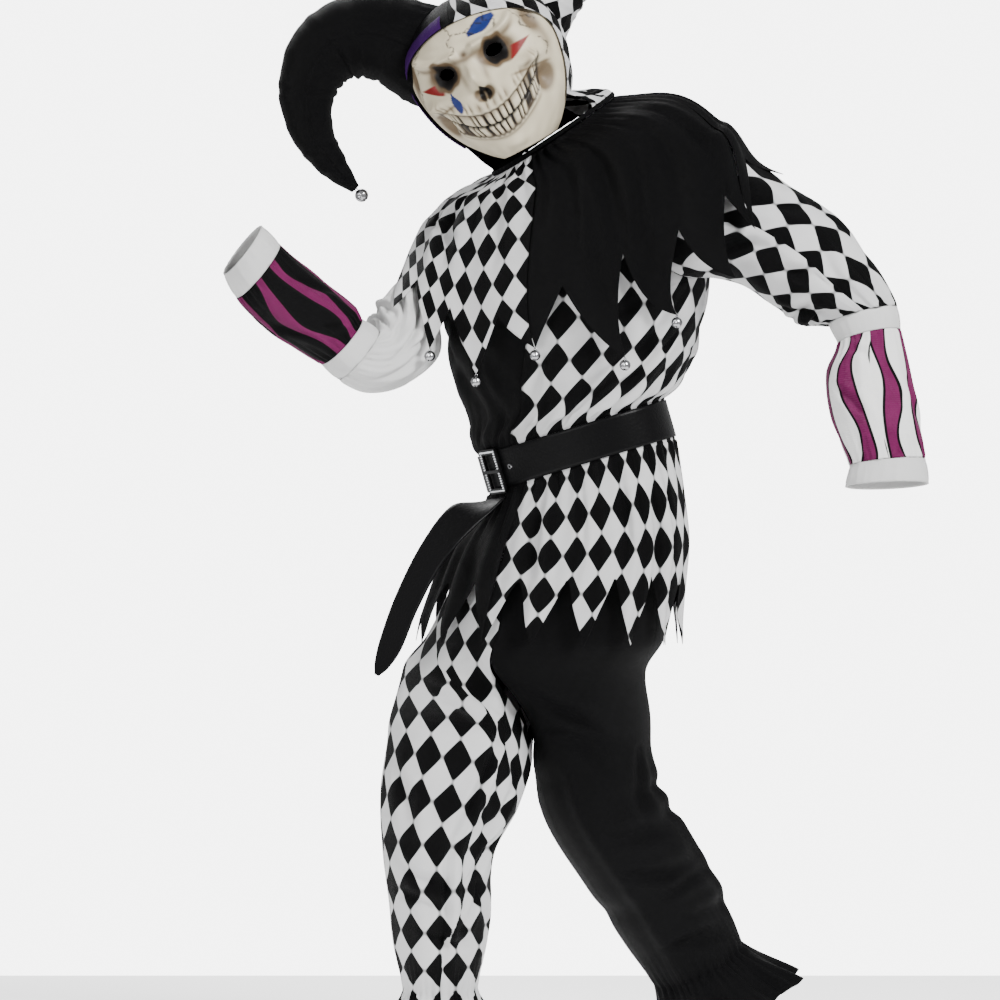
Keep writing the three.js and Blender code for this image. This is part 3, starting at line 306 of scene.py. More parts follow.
def ellipse(section, side, front, a):
    across = centre_of(section) + times(side, section["wide"] * np.sin(a))
    return across + times(front, section["deep"] * np.cos(a))


def body_axes(section):
    turn, pitch, roll = (np.radians(section[name]) for name in ("turn", "pitch", "roll"))
    front = vec(-np.sin(turn) * np.cos(pitch), -np.cos(turn) * np.cos(pitch), -np.sin(pitch))
    left = vec(np.cos(turn) * np.cos(roll), -np.sin(turn) * np.cos(roll), np.sin(roll))
    return front, left


def body_ring(section, angle):
    """A point of a body ring: angle 0 is the front and 90 the wearer's left."""
    front, left = body_axes(section)
    return ellipse(section, left, front, np.radians(angle))


def limb_ring(section, angle):
    """A point of a limb ring: angle 0 faces the front."""
    heading, toward = np.radians(section["heading"]), np.radians(section["toward"])
    side = vec(-np.sin(heading), 0, np.cos(heading))
    front = vec(-np.cos(heading) * np.sin(toward), -np.cos(toward), -np.sin(heading) * np.sin(toward))
    return ellipse(section, side, front, np.radians(angle))


def normal_at(surface, u, v, step=0.02):
    along = surface(u, v + step) - surface(u, v - step)
    across = surface(u + step, v) - surface(u - step, v)
    return unit(np.cross(along, across))


def raised(surface, u, v, lift):
    return surface(u, v) + times(normal_at(surface, u, v), lift)


def moved_out(surface, distance):
    return lambda u, v: raised(surface, u, v, distance + 0 * np.asarray(u, float))


def narrower(section, amount):
    return {**section, "wide": section["wide"] - amount, "deep": section["deep"] - amount}


def apart(a, b):
    return np.abs((np.asarray(a, float) - b + 540) % 360 - 180)


def gather_depth(angle):
    rows = zip(GATHERS["angle"], GATHERS["depth"], GATHERS["width"])
    return sum(depth * hump(apart(angle, at), width) for at, depth, width in rows)


def torso_ring(angle, at):
    near_belt = smooth(at, 390, 455) * (1 - smooth(at, 470, 496))
    fold = gather_depth(angle) * (near_belt + 1.2 * smooth(at, 572, 700))
    return body_ring(narrower(section_at(TUNIC, at), fold), angle)


def torso(angle, at):
    angle, at = alike(angle, at)
    share = np.clip((at - BELT_TOP) / (BELT_BOTTOM - BELT_TOP), 0, 1)[..., None]
    top, bottom = (torso_ring(angle, 0 * at + edge) for edge in (BELT_TOP, BELT_BOTTOM))
    straight = top * (1 - share) + bottom * share
    inside = (at > BELT_TOP) & (at < BELT_BOTTOM)
    return np.where(inside[..., None], straight, torso_ring(angle, at))


def armhole_angle(at):
    sine = (np.asarray(at, float) - ARMHOLE_AT) / ARMHOLE_HEIGHT
    return ARMHOLE_ANGLE * np.sqrt(np.maximum(1 - sine * sine, 0))


def dag_share(angle):
    """1 at the tip of a dag and 0 at the notch between two."""
    return np.abs(2 * ((np.asarray(angle, float) / DAG_STEP) % 1) - 1)


def armhole_point(side, up, angle):
    a = np.radians(angle)
    return torso(side * (90 - ARMHOLE_ANGLE * np.cos(a)), ARMHOLE_AT - ARMHOLE_HEIGHT * up * np.sin(a))


def sleeve_fold(angle, share, count, depth):
    gathered = 1 - 0.75 * np.sin(np.pi * share)
    return depth * gathered * smooth(share, 0.05, 0.3) * np.cos(np.radians(count * angle) + 3 * share)


def upper_sleeve(rows, side, up):
    loop = armhole_point(side, up, np.arange(0, 360, 45.0))
    middle = loop.mean(axis=0)
    out = normal_at(torso, side * 90.0, float(ARMHOLE_AT))

    def surface(angle, at):
        angle, at = alike(angle, at)
        fold = sleeve_fold(angle, at / rows["at"][-1], 8, 2.5)
        section = narrower(section_at(rows, at), -fold)
        edge = armhole_point(side, up, angle)
        lift = (SLEEVE_HEAD * smooth(at, 0, 1.3 * SLEEVE_HEAD))[..., None]
        edge = edge + RING_SEAM * unit(middle - edge) + out * lift
        share = smooth(at, 0, rows["at"][1])[..., None]
        return edge * (1 - share) + limb_ring(section, angle) * share
    return surface


def lower_sleeve(rows, start, end):
    def surface(angle, at):
        fold = sleeve_fold(angle, (at - start) / (end - start), 8, 1.5)
        return limb_ring(narrower(section_at(rows, at), -fold), angle)
    return surface


CAPE_AT = {"at": CAPE["angle"], **CAPE}


def cape(angle, share):
    angle, share = alike(angle, share)
    row = section_at(CAPE_AT, angle)
    down = 100 * share / CAPE_SHOULDER
    lift = LAYER + CAPE_LIFT * smooth(share, 0, 0.2)
    on_shoulder = raised(torso, angle, down, lift)
    points = [
        moved_out(torso, LAYER)(angle, 0 * share),
        moved_out(torso, LAYER + CAPE_LIFT)(angle, 0 * share + 100),
        vec(row["midX"], row["midY"], row["midZ"]),
        vec(row["tipX"], row["tipY"], row["tipZ"]),
    ]
    places = [0, CAPE_SHOULDER, CAPE_MIDDLE, 1]
    fallen = 0
    for i, point in enumerate(points):
        weight = 1
        for k, place in enumerate(places):
            if k != i:
                weight = weight * (share - place) / (places[i] - place)
        fallen = fallen + times(point, weight)
    blend = smooth(share, 0.2, 0.42)[..., None]
    return on_shoulder * (1 - blend) + fallen * blend


def cape_end(angle):
    dag = np.floor((np.asarray(angle, float) + 180) / DAG_STEP).astype(int)
    notch = CAPE["notch"][np.clip(dag, 0, len(CAPE["angle"]) - 2)]
    return 1 - (1 - notch) * (1 - dag_share(angle))


strap = moved_out(torso, SEAM + STRAP_WALL)


def tail(share, at):
    section = section_at(TAIL, at)
    across, face = np.radians(section["across"]), np.radians(section["face"])
    width = vec(np.cos(across) * np.cos(face), -np.sin(face), np.sin(across) * np.cos(face))
    return centre_of(section) + times(width, section["half"] * share)


BODY_COLUMNS = "at x y z wide deep turn pitch roll"


def inside_tunic(at, tunic_at, inside):
    section = {**narrower(section_at(TUNIC, float(tunic_at)), inside), "at": at}
    return [float(section[name]) for name in BODY_COLUMNS.split()]


SEAT = named(BODY_COLUMNS, [
    inside_tunic(0, 546, 4),
    inside_tunic(45, 590, 11),
    inside_tunic(95, 640, 24),
    (190, 8, 92, -735, 212, 132, 42, 2, 2),
    (290, -16, 90, -825, 222, 138, 36, 0, 0),
    (350, -50, 88, -882, 224, 130, 31, 0, 0),
    (460, -34, 84, -990, 206, 120, 20, 0, 0),
])


def leg_fold(leg, angle, at):
    total = 0
    for side, where, down, depth, width, tall in LEG_FOLDS:
        if side == leg:
            total = total + depth * np.exp(-(apart(angle, where) / width) ** 2 - ((at - down) / tall) ** 2)
    return total


def leg_point(leg, angle, at):
    rows = LEFT_LEG if leg > 0 else RIGHT_LEG
    gather, end = rows["at"][-2:]
    seat = body_ring(section_at(SEAT, at), leg * 90 + angle / 2)
    ring_angle = OUTSEAM[leg] + angle
    share = np.clip((at - gather + 70) / 70, 0, 1)
    waves = (2.5 * share + 8 * smooth(at, gather, end)) * np.cos(np.radians(8 * angle))
    section = narrower(section_at(rows, at), leg_fold(leg, ring_angle, at) - waves)
    blend = smooth(at, RISE, CROTCH)[..., None]
    return seat * (1 - blend) + limb_ring(section, ring_angle) * blend


def trouser_leg(leg):
    """A leg's surface: 0 is the outer seam, and the two legs share their middle seam down to the crotch."""
    def surface(angle, at):
        angle, at = alike(angle, at)
        point = leg_point(leg, angle, at)
        other = leg_point(-leg, -angle, at)
        joined = np.clip((at - RISE) / 60, 0, 1) * (1 - smooth(at, CROTCH, CROTCH + 50))
        weight = (smooth(np.abs(angle), 120, 180) * joined)[..., None]
        point = point + ((point + other) / 2 - point) * weight
        section = section_at(SEAT, at)
        turn = np.radians(section["turn"])
        outwards = leg * vec(np.cos(turn), -np.sin(turn), 0)
        centre = vec(section["x"], section["y"], 0)
        clear = ((point - centre) * outwards).sum(axis=-1)
        return point + times(outwards, np.where(at > RISE, np.maximum(LEG_CLEAR - clear, 0), 0))
    return surface


HEAD_FRONT, HEAD_LEFT = body_axes(HEAD)
HEAD_UP = unit(np.cross(HEAD_FRONT, HEAD_LEFT))
HEAD_CENTRE = np.array([HEAD["x"], HEAD["y"], HEAD["z"]], float)


def head(angle, at):
    angle, at = alike(angle, at)
    section = section_at(HEAD_SECTIONS, at)
    a = np.radians(angle)
    deep = np.where(np.cos(a) > 0, section["front"], section["back"])
    return (HEAD_CENTRE + times(HEAD_UP, HEAD["top"] - at) + times(HEAD_LEFT, section["wide"] * np.sin(a))
            + times(HEAD_FRONT, deep * np.cos(a)))


def head_room(point, lift):
    """How far outside the hood a point lies, as a share of its radius."""
    from_centre = point - HEAD_CENTRE
    at = HEAD["top"] + lift - from_centre @ HEAD_UP
    section = section_at(HEAD_SECTIONS, at * HEAD["top"] / (HEAD["top"] + lift))
    ahead = from_centre @ HEAD_FRONT
    deep = np.where(ahead > 0, section["front"], section["back"]) + lift
    room = np.hypot(from_centre @ HEAD_LEFT / (section["wide"] + lift), ahead / deep) - 1
    return np.where(at < 0, 1, room)


NECK_SECTION = {name: values[0] for name, values in TUNIC.items()}
NECK_FRONT, NECK_LEFT = body_axes(NECK_SECTION)
NECK_UP = unit(np.cross(NECK_FRONT, NECK_LEFT))
hood_form = moved_out(head, HOOD_LIFT)


def hood(angle, at):
    angle, at = alike(angle, at)
    on_head = hood_form(angle, np.minimum(at, HOOD_JAW))
    share = np.clip((at - HOOD_JAW) / (HOOD_LENGTH - HOOD_JAW), 0, 1)
    ring = body_ring(narrower(NECK_SECTION, 1.5), angle)
    upright = ring + times(NECK_UP + 0 * ring, 14 - 11.5 * np.clip((share - 0.75) / 0.25, 0, 1))
    blend = np.clip(share / 0.75, 0, 1)[..., None]
    return on_head * (1 - blend) + upright * blend


def face_edge(at):
    at = np.asarray(at, float)
    rise = np.clip((FACE_WIDEST - at) / (FACE_WIDEST - FACE_TOP), 0, 1)
    edge = FACE_ANGLE * np.sqrt(1 - rise * rise)
    share = np.clip((at - HOOD_JAW) / (HOOD_LENGTH - HOOD_JAW), 0, 1)
    return np.where(at <= FACE_TOP, 0, edge + (NECK_EDGE_ANGLE - FACE_ANGLE) * share)


# Creases and gathers

def uneven(angle, count, shift=0.0):
    """Waves round a ring, closer together in some places than in others."""
    a = np.radians(np.asarray(angle, float))
    return np.cos(count * a + 1.4 * np.sin(3 * a + shift) + 0.9 * np.sin(7 * a + 2.3 * shift) + shift)


def creases(rows, scale):
    """Troughs with a soft ridge on each side."""
    def relief(u, v):
        x, y = np.asarray(u, float) * scale, np.asarray(v, float)
        total = 0 * (x + y)
        for u0, v0, u1, v1, bow, depth, width in rows:
            across, down = (u1 - u0) * scale, v1 - v0
            length = max(np.hypot(across, down), 1e-6)
            raw = ((x - u0 * scale) * across + (y - v0) * down) / length ** 2
            t = np.clip(raw, 0, 1)
            side = ((x - u0 * scale) * down - (y - v0) * across) / length - bow * 4 * t * (1 - t)
            beyond = np.abs(raw - t) * length
            w = width * (0.7 + 0.6 * t)
            taper = np.sin(np.pi * np.clip(t, 0.04, 0.96)) ** 0.6 * hump(beyond, w)
            shape = -hump(side, w) + 0.5 * hump(side - 1.9 * w, 1.2 * w)
            total = total + 1.3 * depth * taper * (shape + 0.35 * hump(side + 2 * w, 1.3 * w))
        return total
    return relief


def crease_lists(text):
    """Rows of creases, each list under the name of its piece."""
    lists = {}
    for line in text.strip().splitlines():
        if line[0].isalpha():
            lists[line] = []
            name = line
        else:
            lists[name] += [[float(word) for word in row.split()] for row in line.split(",")]
    return lists


# Each row of a piece's creases: start u and v, end u and v, bow, depth, width
CREASES = crease_lists("""
tunic_front_right
-80 300 -20 470 18 4.5 15, -62 270 -8 400 12 3.2 12, -84 380 -40 490 -8 3.6 11, -30 330 -5 486 -10 3 10
-50 600 -44 780 6 4.5 12, -22 590 -16 760 -8 4 11, -76 595 -72 800 8 4.2 13, -8 610 -6 800 5 3 9
tunic_front_left
78 300 16 455 22 5 15, 64 262 8 372 14 3.2 12, 84 352 34 482 10 4.4 12, 12 330 4 490 -9 3 10
48 380 30 492 -8 3.4 10, 70 420 56 496 5 3.2 9, 14 590 20 770 -9 4.6 12, 38 600 34 800 7 4.2 11
60 588 66 760 -6 4.6 12, 80 600 78 812 8 4 12, 26 700 28 850 4 3 9
tunic_back_left
100 300 150 470 -20 4.5 15, 112 270 170 380 -12 3.2 13, 96 400 120 492 8 3.4 10, 160 340 166 486 8 3 11
110 596 116 780 7 4.2 12, 140 600 134 800 -8 4.4 12, 166 592 170 770 6 4 11
tunic_back_right
-100 300 -146 462 20 4.4 15, -114 268 -168 390 12 3 13, -97 396 -118 490 -8 3.4 10
-158 350 -164 488 -8 3.2 11, -112 590 -106 790 -7 4.2 12, -138 600 -143 780 8 4.6 12
-165 595 -168 800 -6 3.8 11
sleeve_left
300 60 352 150 14 4.5 11, 20 40 60 170 -12 4 12, 330 170 366 300 10 4.2 10, 30 190 5 310 -8 3.6 9
280 200 318 300 8 4.6 10, 70 160 95 290 -8 3.6 11, 255 235 330 262 6 4.2 8, 262 265 322 290 -5 3.8 7
150 90 190 220 10 4 12, 215 60 240 190 -10 3.8 12
sleeve_right
20 60 50 190 10 4.6 10, 60 40 84 160 -9 4.2 10, 340 80 368 210 9 4.4 10, 300 60 330 200 -8 4 10
250 90 296 230 8 4.2 10, 80 170 110 250 -6 3.6 8, 230 195 300 222 5 4.4 7, 240 228 306 248 -4 3.8 6
140 70 170 200 8 4 11, 262 110 330 236 -9 5.6 7, 286 100 352 224 9 5 8, 318 130 372 240 -8 5 7
210 150 262 250 8 4.6 8, 2 150 34 250 8 4.6 8
forearm_left
330 60 380 110 8 3.2 8, 20 70 50 170 -6 3 8, 300 120 350 190 7 3.4 8, 60 110 85 210 -6 3 8
180 60 210 170 8 3.2 9, 240 90 262 200 -7 3 9
forearm_right
330 60 375 110 7 3 7, 25 70 55 150 -6 3 7, 290 110 330 190 6 3 8, 70 90 95 180 -6 3 8, 170 60 205 160 7 3 8
235 80 260 180 -6 3 8
cape_front_right
-70 20 -58 230 12 4 11, -48 15 -34 260 -9 4.4 11, -22 18 -14 250 8 4 10, -84 30 -76 200 -8 3.6 11
-8 30 -4 240 5 3 8, -60 150 -30 190 6 3.2 9
cape_front_left
10 20 14 290 8 4.6 12, 28 15 36 280 -10 4.8 12, 50 25 58 240 9 4.2 12, 70 20 82 200 -8 4 12
20 120 24 330 4 3.4 9, 42 140 46 320 -5 3.6 9
cape_back_left
100 20 104 210 7 4 11, 122 20 128 240 -8 4.4 12, 146 18 150 250 8 4.2 12, 168 24 170 240 -6 3.8 11
cape_back_right
-100 20 -104 210 -7 4 11, -124 20 -128 240 8 4.2 12, -146 18 -152 250 -8 4.4 12, -168 24 -171 240 6 3.6 11
trouser_right_front
60 380 128 470 12 5 13, 90 430 150 520 10 4.6 12, 116 420 84 835 -8 8 9, 140 520 122 640 6 5 9
150 600 118 690 8 5 9, 134 700 108 770 6 4.6 8, 20 520 52 640 12 4.4 13, 100 560 140 640 8 4 11
30 660 110 700 -10 4.6 10, 24 710 100 744 8 4.2 9, 60 770 140 800 -8 4 9, 130 680 160 820 7 3.8 11
trouser_right_back
-60 380 -130 480 -12 4.8 13, -40 480 -66 640 10 4.6 13, -90 600 -150 650 8 4.6 11
-80 656 -150 690 -8 4.4 10, -30 700 -100 740 8 4.2 10, -60 780 -140 806 8 4 9
trouser_left_front
-150 380 -90 470 -10 4.8 12, -150 440 -100 500 8 4.4 11, -120 600 -50 640 9 5 11, -130 640 -44 690 -9 5.2 11
-110 700 -30 724 8 4.6 10, -100 745 -24 780 -8 4.4 10, -60 480 -84 600 8 4.4 12, -140 780 -70 806 6 4 9
trouser_left_back
40 380 120 480 12 4.8 13, 50 560 140 590 9 5.4 11, 46 602 146 628 -8 5.2 10, 40 650 130 668 8 4.8 10
30 480 44 600 -8 4.4 13, 60 700 140 742 -8 4.4 11, 40 780 130 800 7 4.2 9
hood_right
-150 190 -100 250 8 3.4 10, -120 220 -80 270 -6 3.2 8, -170 150 -130 215 8 3 10, -165 225 -140 275 6 3 8
hood_left
150 190 100 250 -8 3.4 10, 120 220 80 270 6 3.2 8, 170 150 130 215 -8 3 10, 112 120 96 205 6 2.6 10
horn_right
60 150 130 158 5 2.6 6, 60 186 128 196 -4 2.8 6, 58 226 130 232 4 2.8 6, 62 262 126 272 -4 2.6 5
60 300 128 306 4 2.2 5, 320 90 350 200 8 2.4 9, 200 110 236 230 -8 2.4 9
horn_left
240 130 300 138 5 2.6 6, 238 170 300 178 -4 2.8 6, 240 212 304 218 4 2.8 6, 242 252 300 258 -4 2.4 5
30 60 60 170 8 2.4 9, 130 80 160 190 -8 2.4 9
""")


# Shaders

def operator(operation, turned=False):
    def method(self, other):
        values = (other, self) if turned else (self, other)
        return self.shade.math(operation, *values)
    return method


class Value:
    """A shader socket that can stand in a sum."""

    __add__, __radd__ = operator("ADD"), operator("ADD", True)
    __sub__, __rsub__ = operator("SUBTRACT"), operator("SUBTRACT", True)
    __mul__, __rmul__ = operator("MULTIPLY"), operator("MULTIPLY", True)

    def __init__(self, shade, socket):
        self.shade, self.socket = shade, socket

    def __abs__(self):
        return self.shade.math("ABSOLUTE", self)


class Shade:
    """A material with one principled shader."""

    def __init__(self, name, **constants):
        self.material = bpy.data.materials.new(name)
        self.material.use_nodes = True
        self.tree = self.material.node_tree
        self.tree.nodes.clear()
        output = self.tree.nodes.new("ShaderNodeOutputMaterial")
        self.shader = self.tree.nodes.new("ShaderNodeBsdfPrincipled")
        self.tree.links.new(self.shader.outputs[0], output.inputs[0])
        for name, value in constants.items():
            self.put(self.shader.inputs[name.replace("_", " ")], value)

    def put(self, socket, value):
        if isinstance(value, Value):
            self.tree.links.new(value.socket, socket)
        elif hasattr(value, "__len__") and len(value) == 3 and socket.type == "RGBA":
            socket.default_value = (*value, 1)
        else:
            socket.default_value = value

    def node(self, kind, settings=None, inputs=None):
        node = self.tree.nodes.new(kind)
        for key, value in (settings or {}).items():
            setattr(node, key, value)
        for key, value in (inputs or {}).items():
            self.put(node.inputs[key], value)
        return node

    def first(self, kind, settings=None, inputs=None):
        """The first output of a new node."""
        return Value(self, self.node(kind, settings, inputs).outputs[0])

    def math(self, operation, *values):
        return self.first("ShaderNodeMath", {"operation": operation}, dict(enumerate(values)))

    def sine(self, value):
        return self.math("SINE", value)

    def ramp(self, value, low, high):
        inputs = {0: value, 1: low, 2: high}
        return self.first("ShaderNodeMapRange", {"interpolation_type": "SMOOTHSTEP"}, inputs)

    def mix(self, share, a, b):
        node = self.node("ShaderNodeMix", {"data_type": "RGBA"}, {0: share, 6: a, 7: b})
        return Value(self, node.outputs[2])

    def uv(self):
        node = self.node("ShaderNodeSeparateXYZ", None, {0: self.first("ShaderNodeUVMap")})
        return Value(self, node.outputs[0]), Value(self, node.outputs[1])

    def noise(self, scale, detail=2.0):
        place = Value(self, self.node("ShaderNodeTexCoord").outputs["Object"])
        inputs = {"Vector": place, "Scale": scale, "Detail": detail}
        return self.first("ShaderNodeTexNoise", None, inputs)

    def bump(self, height, distance, strength=1.0):
        inputs = {"Height": height, "Distance": distance, "Strength": strength}
        self.put(self.shader.inputs["Normal"], self.first("ShaderNodeBump", None, inputs))

    def colour(self, value):
        self.put(self.shader.inputs["Base Color"], value)


BLACK = (0.001, 0.001, 0.0012)
WHITE = (0.68, 0.68, 0.675)
BAND_WHITE = (0.7, 0.7, 0.69)
MAGENTA = (0.075, 0.0045, 0.036)
PI = 3.14159265


def weave(shade, x, y, threads=70.0):
    """Fine threads both ways, and small soft dents."""
    cross = shade.sine(x * (threads * 2 * PI)) * shade.sine(y * (threads * 2.4 * PI))
    shade.bump(cross * 0.1 + shade.noise(34.0, 3.0) * 1.3 + shade.noise(120.0, 2.0) * 0.25, 0.004, 0.7)


def cloth_shade(name, **constants):
    return Shade(name, Roughness=0.58, Specular_IOR_Level=0.065, **constants)


def plain_cloth(name, colour, shade_of):
    shade = cloth_shade(name)
    x, y = shade.uv()
    shade.colour(shade.mix(shade.noise(9.0, 2.0), colour, shade_of))
    weave(shade, x, y)
    return shade.material


def harlequin_cloth():
    """Printed diamonds, one diamond wide and tall to a unit of the cloth's own coordinates."""
    shade = cloth_shade("harlequin")
    x, y = shade.uv()
    waver = (shade.noise(12.0, 1.0) - 0.5) * 0.12
    checks = shade.sine((x + y + waver) * PI) * shade.sine((x - y) * PI)
    pale = shade.mix(shade.noise(11.0, 3.0), WHITE, (0.5, 0.5, 0.51))
    shade.colour(shade.mix(shade.ramp(checks, -0.045, 0.045), BLACK, pale))
    weave(shade, x, y)
    return shade.material


def striped_cloth(name, ground, outline):
    """Wavy satin stripes, one to a unit across the cloth, on a plain ground."""
    shade = cloth_shade(name)
    x, y = shade.uv()
    stripe = shade.math("FLOOR", x)
    local = x - stripe - 0.5 + 0.15 * shade.sine(y * 3.6 + stripe * 1.7)
    half = 0.18 + 0.055 * shade.sine(y * 5.2 + stripe * 2.3)
    inside = half - abs(local)
    satin = shade.mix(shade.noise(30.0, 2.0), MAGENTA, (0.13, 0.012, 0.068))
    edged = shade.mix(shade.ramp(inside, -0.085, -0.06), ground, outline)
    body = shade.ramp(inside, -0.01, 0.015)
    shade.colour(shade.mix(body, edged, satin))
    shade.put(shade.shader.inputs["Roughness"], 0.6 - 0.25 * body)
    weave(shade, x * 6.0, y * 1.5, 8.0)
    return shade.material


def metal(name, colour, roughness):
    shade = Shade(name, Metallic=1.0)
    shade.colour(shade.mix(shade.noise(60.0, 2.0), colour, tuple(0.85 * c for c in colour)))
    shade.put(shade.shader.inputs["Roughness"], roughness + 0.12 * shade.noise(90.0, 2.0))
    return shade.material


def vinyl():
    shade = Shade("vinyl", Roughness=0.38, Specular_IOR_Level=0.09, Base_Color=(0.0016, 0.0016, 0.0018))
    shade.bump(shade.noise(260.0, 3.0) + shade.noise(22.0, 2.0) * 1.5, 0.0012, 0.5)
    return shade.material


def painted(name):
    """Moulded plastic, coloured by the mesh's own colours, which hold painted shade as well as the mask's
    marks.
    """
    shade = Shade(name, Roughness=0.5, Specular_IOR_Level=0.25)
    paint_and_shade = shade.first("ShaderNodeAttribute", {"attribute_name": "paint_and_shade"})
    shade.colour(shade.mix(shade.ramp(shade.noise(26.0, 4.0), 0.5, 0.8) * 0.16, paint_and_shade, (0.06, 0.04, 0.02)))
    shade.bump(shade.noise(120.0, 3.0), 0.0012, 0.35)
    return shade.material


LOOK = {
    "black": plain_cloth("black", BLACK, (0.0019, 0.0019, 0.0022)),
    "white": plain_cloth("white", BAND_WHITE, (0.6, 0.6, 0.6)),
    "purple": plain_cloth("purple", (0.04, 0.007, 0.085), (0.025, 0.005, 0.055)),
    "harlequin": harlequin_cloth(),
    "left stripes": striped_cloth("left stripes", BAND_WHITE, BLACK),
    "right stripes": striped_cloth("right stripes", BLACK, (0.002, 0.002, 0.002)),
    "vinyl": vinyl(),
    "silver": metal("silver", (0.3, 0.3, 0.31), 0.14),
    "buckle": metal("buckle", (0.03, 0.03, 0.031), 0.3),
    # Flat dark for the bells' slits and round ends: painted shade of the bell's inside
    "dark": Shade("dark", Base_Color=(0.004, 0.004, 0.004), Roughness=0.8).material,
    "stone": Shade("stone", Base_Color=(0.9, 0.92, 0.95), Roughness=0.12, Metallic=0.15,
                   Coat_Weight=1.0).material,
    "skull": painted("skull"),
}


# Meshes

def placed(name, data):
    obj = bpy.data.objects.new(name, data)
    bpy.context.scene.collection.objects.link(obj)
    return obj


def mesh_object(name, points, faces, look, corner_uv=None, paint_and_shade=None):
    """An object of triangles or quads; points are in millimetres."""
    mesh = bpy.data.meshes.new(name)
    faces = np.asarray(faces)
    sides = faces.shape[1]
    mesh.vertices.add(len(points))
    mesh.vertices.foreach_set("co", (np.asarray(points) * MM).astype(np.float32).ravel())
    mesh.loops.add(faces.size)
    mesh.loops.foreach_set("vertex_index", faces.astype(np.int32).ravel())
    mesh.polygons.add(len(faces))
    mesh.polygons.foreach_set("loop_start", (np.arange(len(faces)) * sides).astype(np.int32))
    mesh.update(calc_edges=True)
    mesh.polygons.foreach_set("use_smooth", np.ones(len(faces), bool))
    if corner_uv is not None:
        layer = mesh.uv_layers.new(name="UVMap")
        layer.data.foreach_set("uv", corner_uv.astype(np.float32).ravel())
    if paint_and_shade is not None:
        colours = mesh.color_attributes.new("paint_and_shade", "FLOAT_COLOR", "POINT")
        colours.data.foreach_set("color", np.c_[paint_and_shade, np.ones(len(paint_and_shade))].astype(np.float32).ravel())
    mesh.materials.append(LOOK[look])
    obj = placed(name, mesh)
    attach(obj, "root")
    return obj


def thicken(obj, wall):
    modifier = obj.modifiers.new("wall", "SOLIDIFY")
    modifier.thickness = wall * MM
    modifier.offset = -1
    return obj


def corners_of(rows, columns):
    """The four corners of every cell of a grid, as rows and columns."""
    j, i = np.meshgrid(np.arange(rows), np.arange(columns), indexing="ij")
    return [(j, i), (j + 1, i), (j + 1, i + 1), (j, i + 1)]


def grid_faces(rows, columns, across):
    return np.stack([row * across + column % across for row, column in corners_of(rows, columns)], axis=-1)


def grid_object(name, points, cloth_xy, look, closed=False):
    """An object over a grid of points; a closed one joins its last column to its first."""
    rows, columns = points.shape[0] - 1, points.shape[1] - 1
    across = columns if closed else columns + 1
    faces = grid_faces(rows, columns, across).reshape(-1, 4)
    uv = np.stack([cloth_xy[row, column] for row, column in corners_of(rows, columns)], axis=-2)
    return mesh_object(name, points[:, :across].reshape(-1, 3), faces, look, uv.reshape(-1, 2))


def cloth(name, surface, place, columns, rows, look, pattern, relief=None, wall=CLOTH, closed=False):
    """One cloth piece. place turns shares of its width and length into the surface's two parameters."""
    s, t = np.meshgrid(np.linspace(0, 1, columns + 1), np.linspace(0, 1, rows + 1))
    u, v = place(s, t)
    points = raised(surface, u, v, relief(u, v)) if relief else surface(u, v)
    obj = grid_object(name + "_cloth", points, np.stack(pattern(u, v), axis=-1), look, closed)
    if wall:
        thicken(obj, wall)
    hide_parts(name)
    return obj


# Cuts: width and length in metres, flat area in square metres, how it is held, what it rests on

CUTS = {line.split()[0]: line.split()[1:] for line in """\
tunic_front_right 0.45 0.9 0.215 draped neck_binding belt_strap
tunic_front_left 0.45 0.9 0.235 draped neck_binding belt_strap
tunic_back_left 0.45 0.9 0.252 draped neck_binding belt_strap
tunic_back_right 0.45 0.9 0.235 draped neck_binding belt_strap
sleeve_left 0.6 0.34 0.19 gathered tunic_front_left elbow_band_left
sleeve_right 0.5 0.3 0.137 gathered tunic_front_right elbow_band_right
elbow_band_left 0.36 0.036 0.0127 stretched sleeve_left
elbow_band_right 0.34 0.037 0.0125 stretched sleeve_right
forearm_left 0.44 0.21 0.085 gathered elbow_band_left cuff_left
forearm_right 0.38 0.19 0.069 gathered elbow_band_right cuff_right
cuff_left 0.42 0.04 0.016 stretched forearm_left
cuff_right 0.34 0.045 0.015 stretched forearm_right
cape_front_right 0.48 0.42 0.093 gathered neck_binding tunic_front_right
cape_front_left 0.48 0.42 0.115 gathered neck_binding tunic_front_left
cape_back_left 0.48 0.36 0.106 gathered neck_binding tunic_back_left
cape_back_right 0.48 0.36 0.106 gathered neck_binding tunic_back_right
neck_binding 0.66 0.0102 0.006 stretched tunic_front_left tunic_back_right
belt_strap 1.07 0.062 0.066 stretched tunic_front_left tunic_back_right
belt_tail 0.063 0.37 0.023 hung belt_strap
trouser_waistband 1.06 0.034 0.036 stretched tunic_back_left
hood_right 0.3 0.36 0.077 stretched mask
hood_left 0.3 0.36 0.077 stretched mask
hood_edging 0.02 0.26 0.0038 stretched hood_right
""".splitlines()}
for name in ("right_front", "right_back", "left_front", "left_back"):
    CUTS["trouser_" + name] = [0.38, 0.95, 0.28, "draped", "trouser_waistband"]


# Tunic: four panels with a dagged hem, bloused over the belt

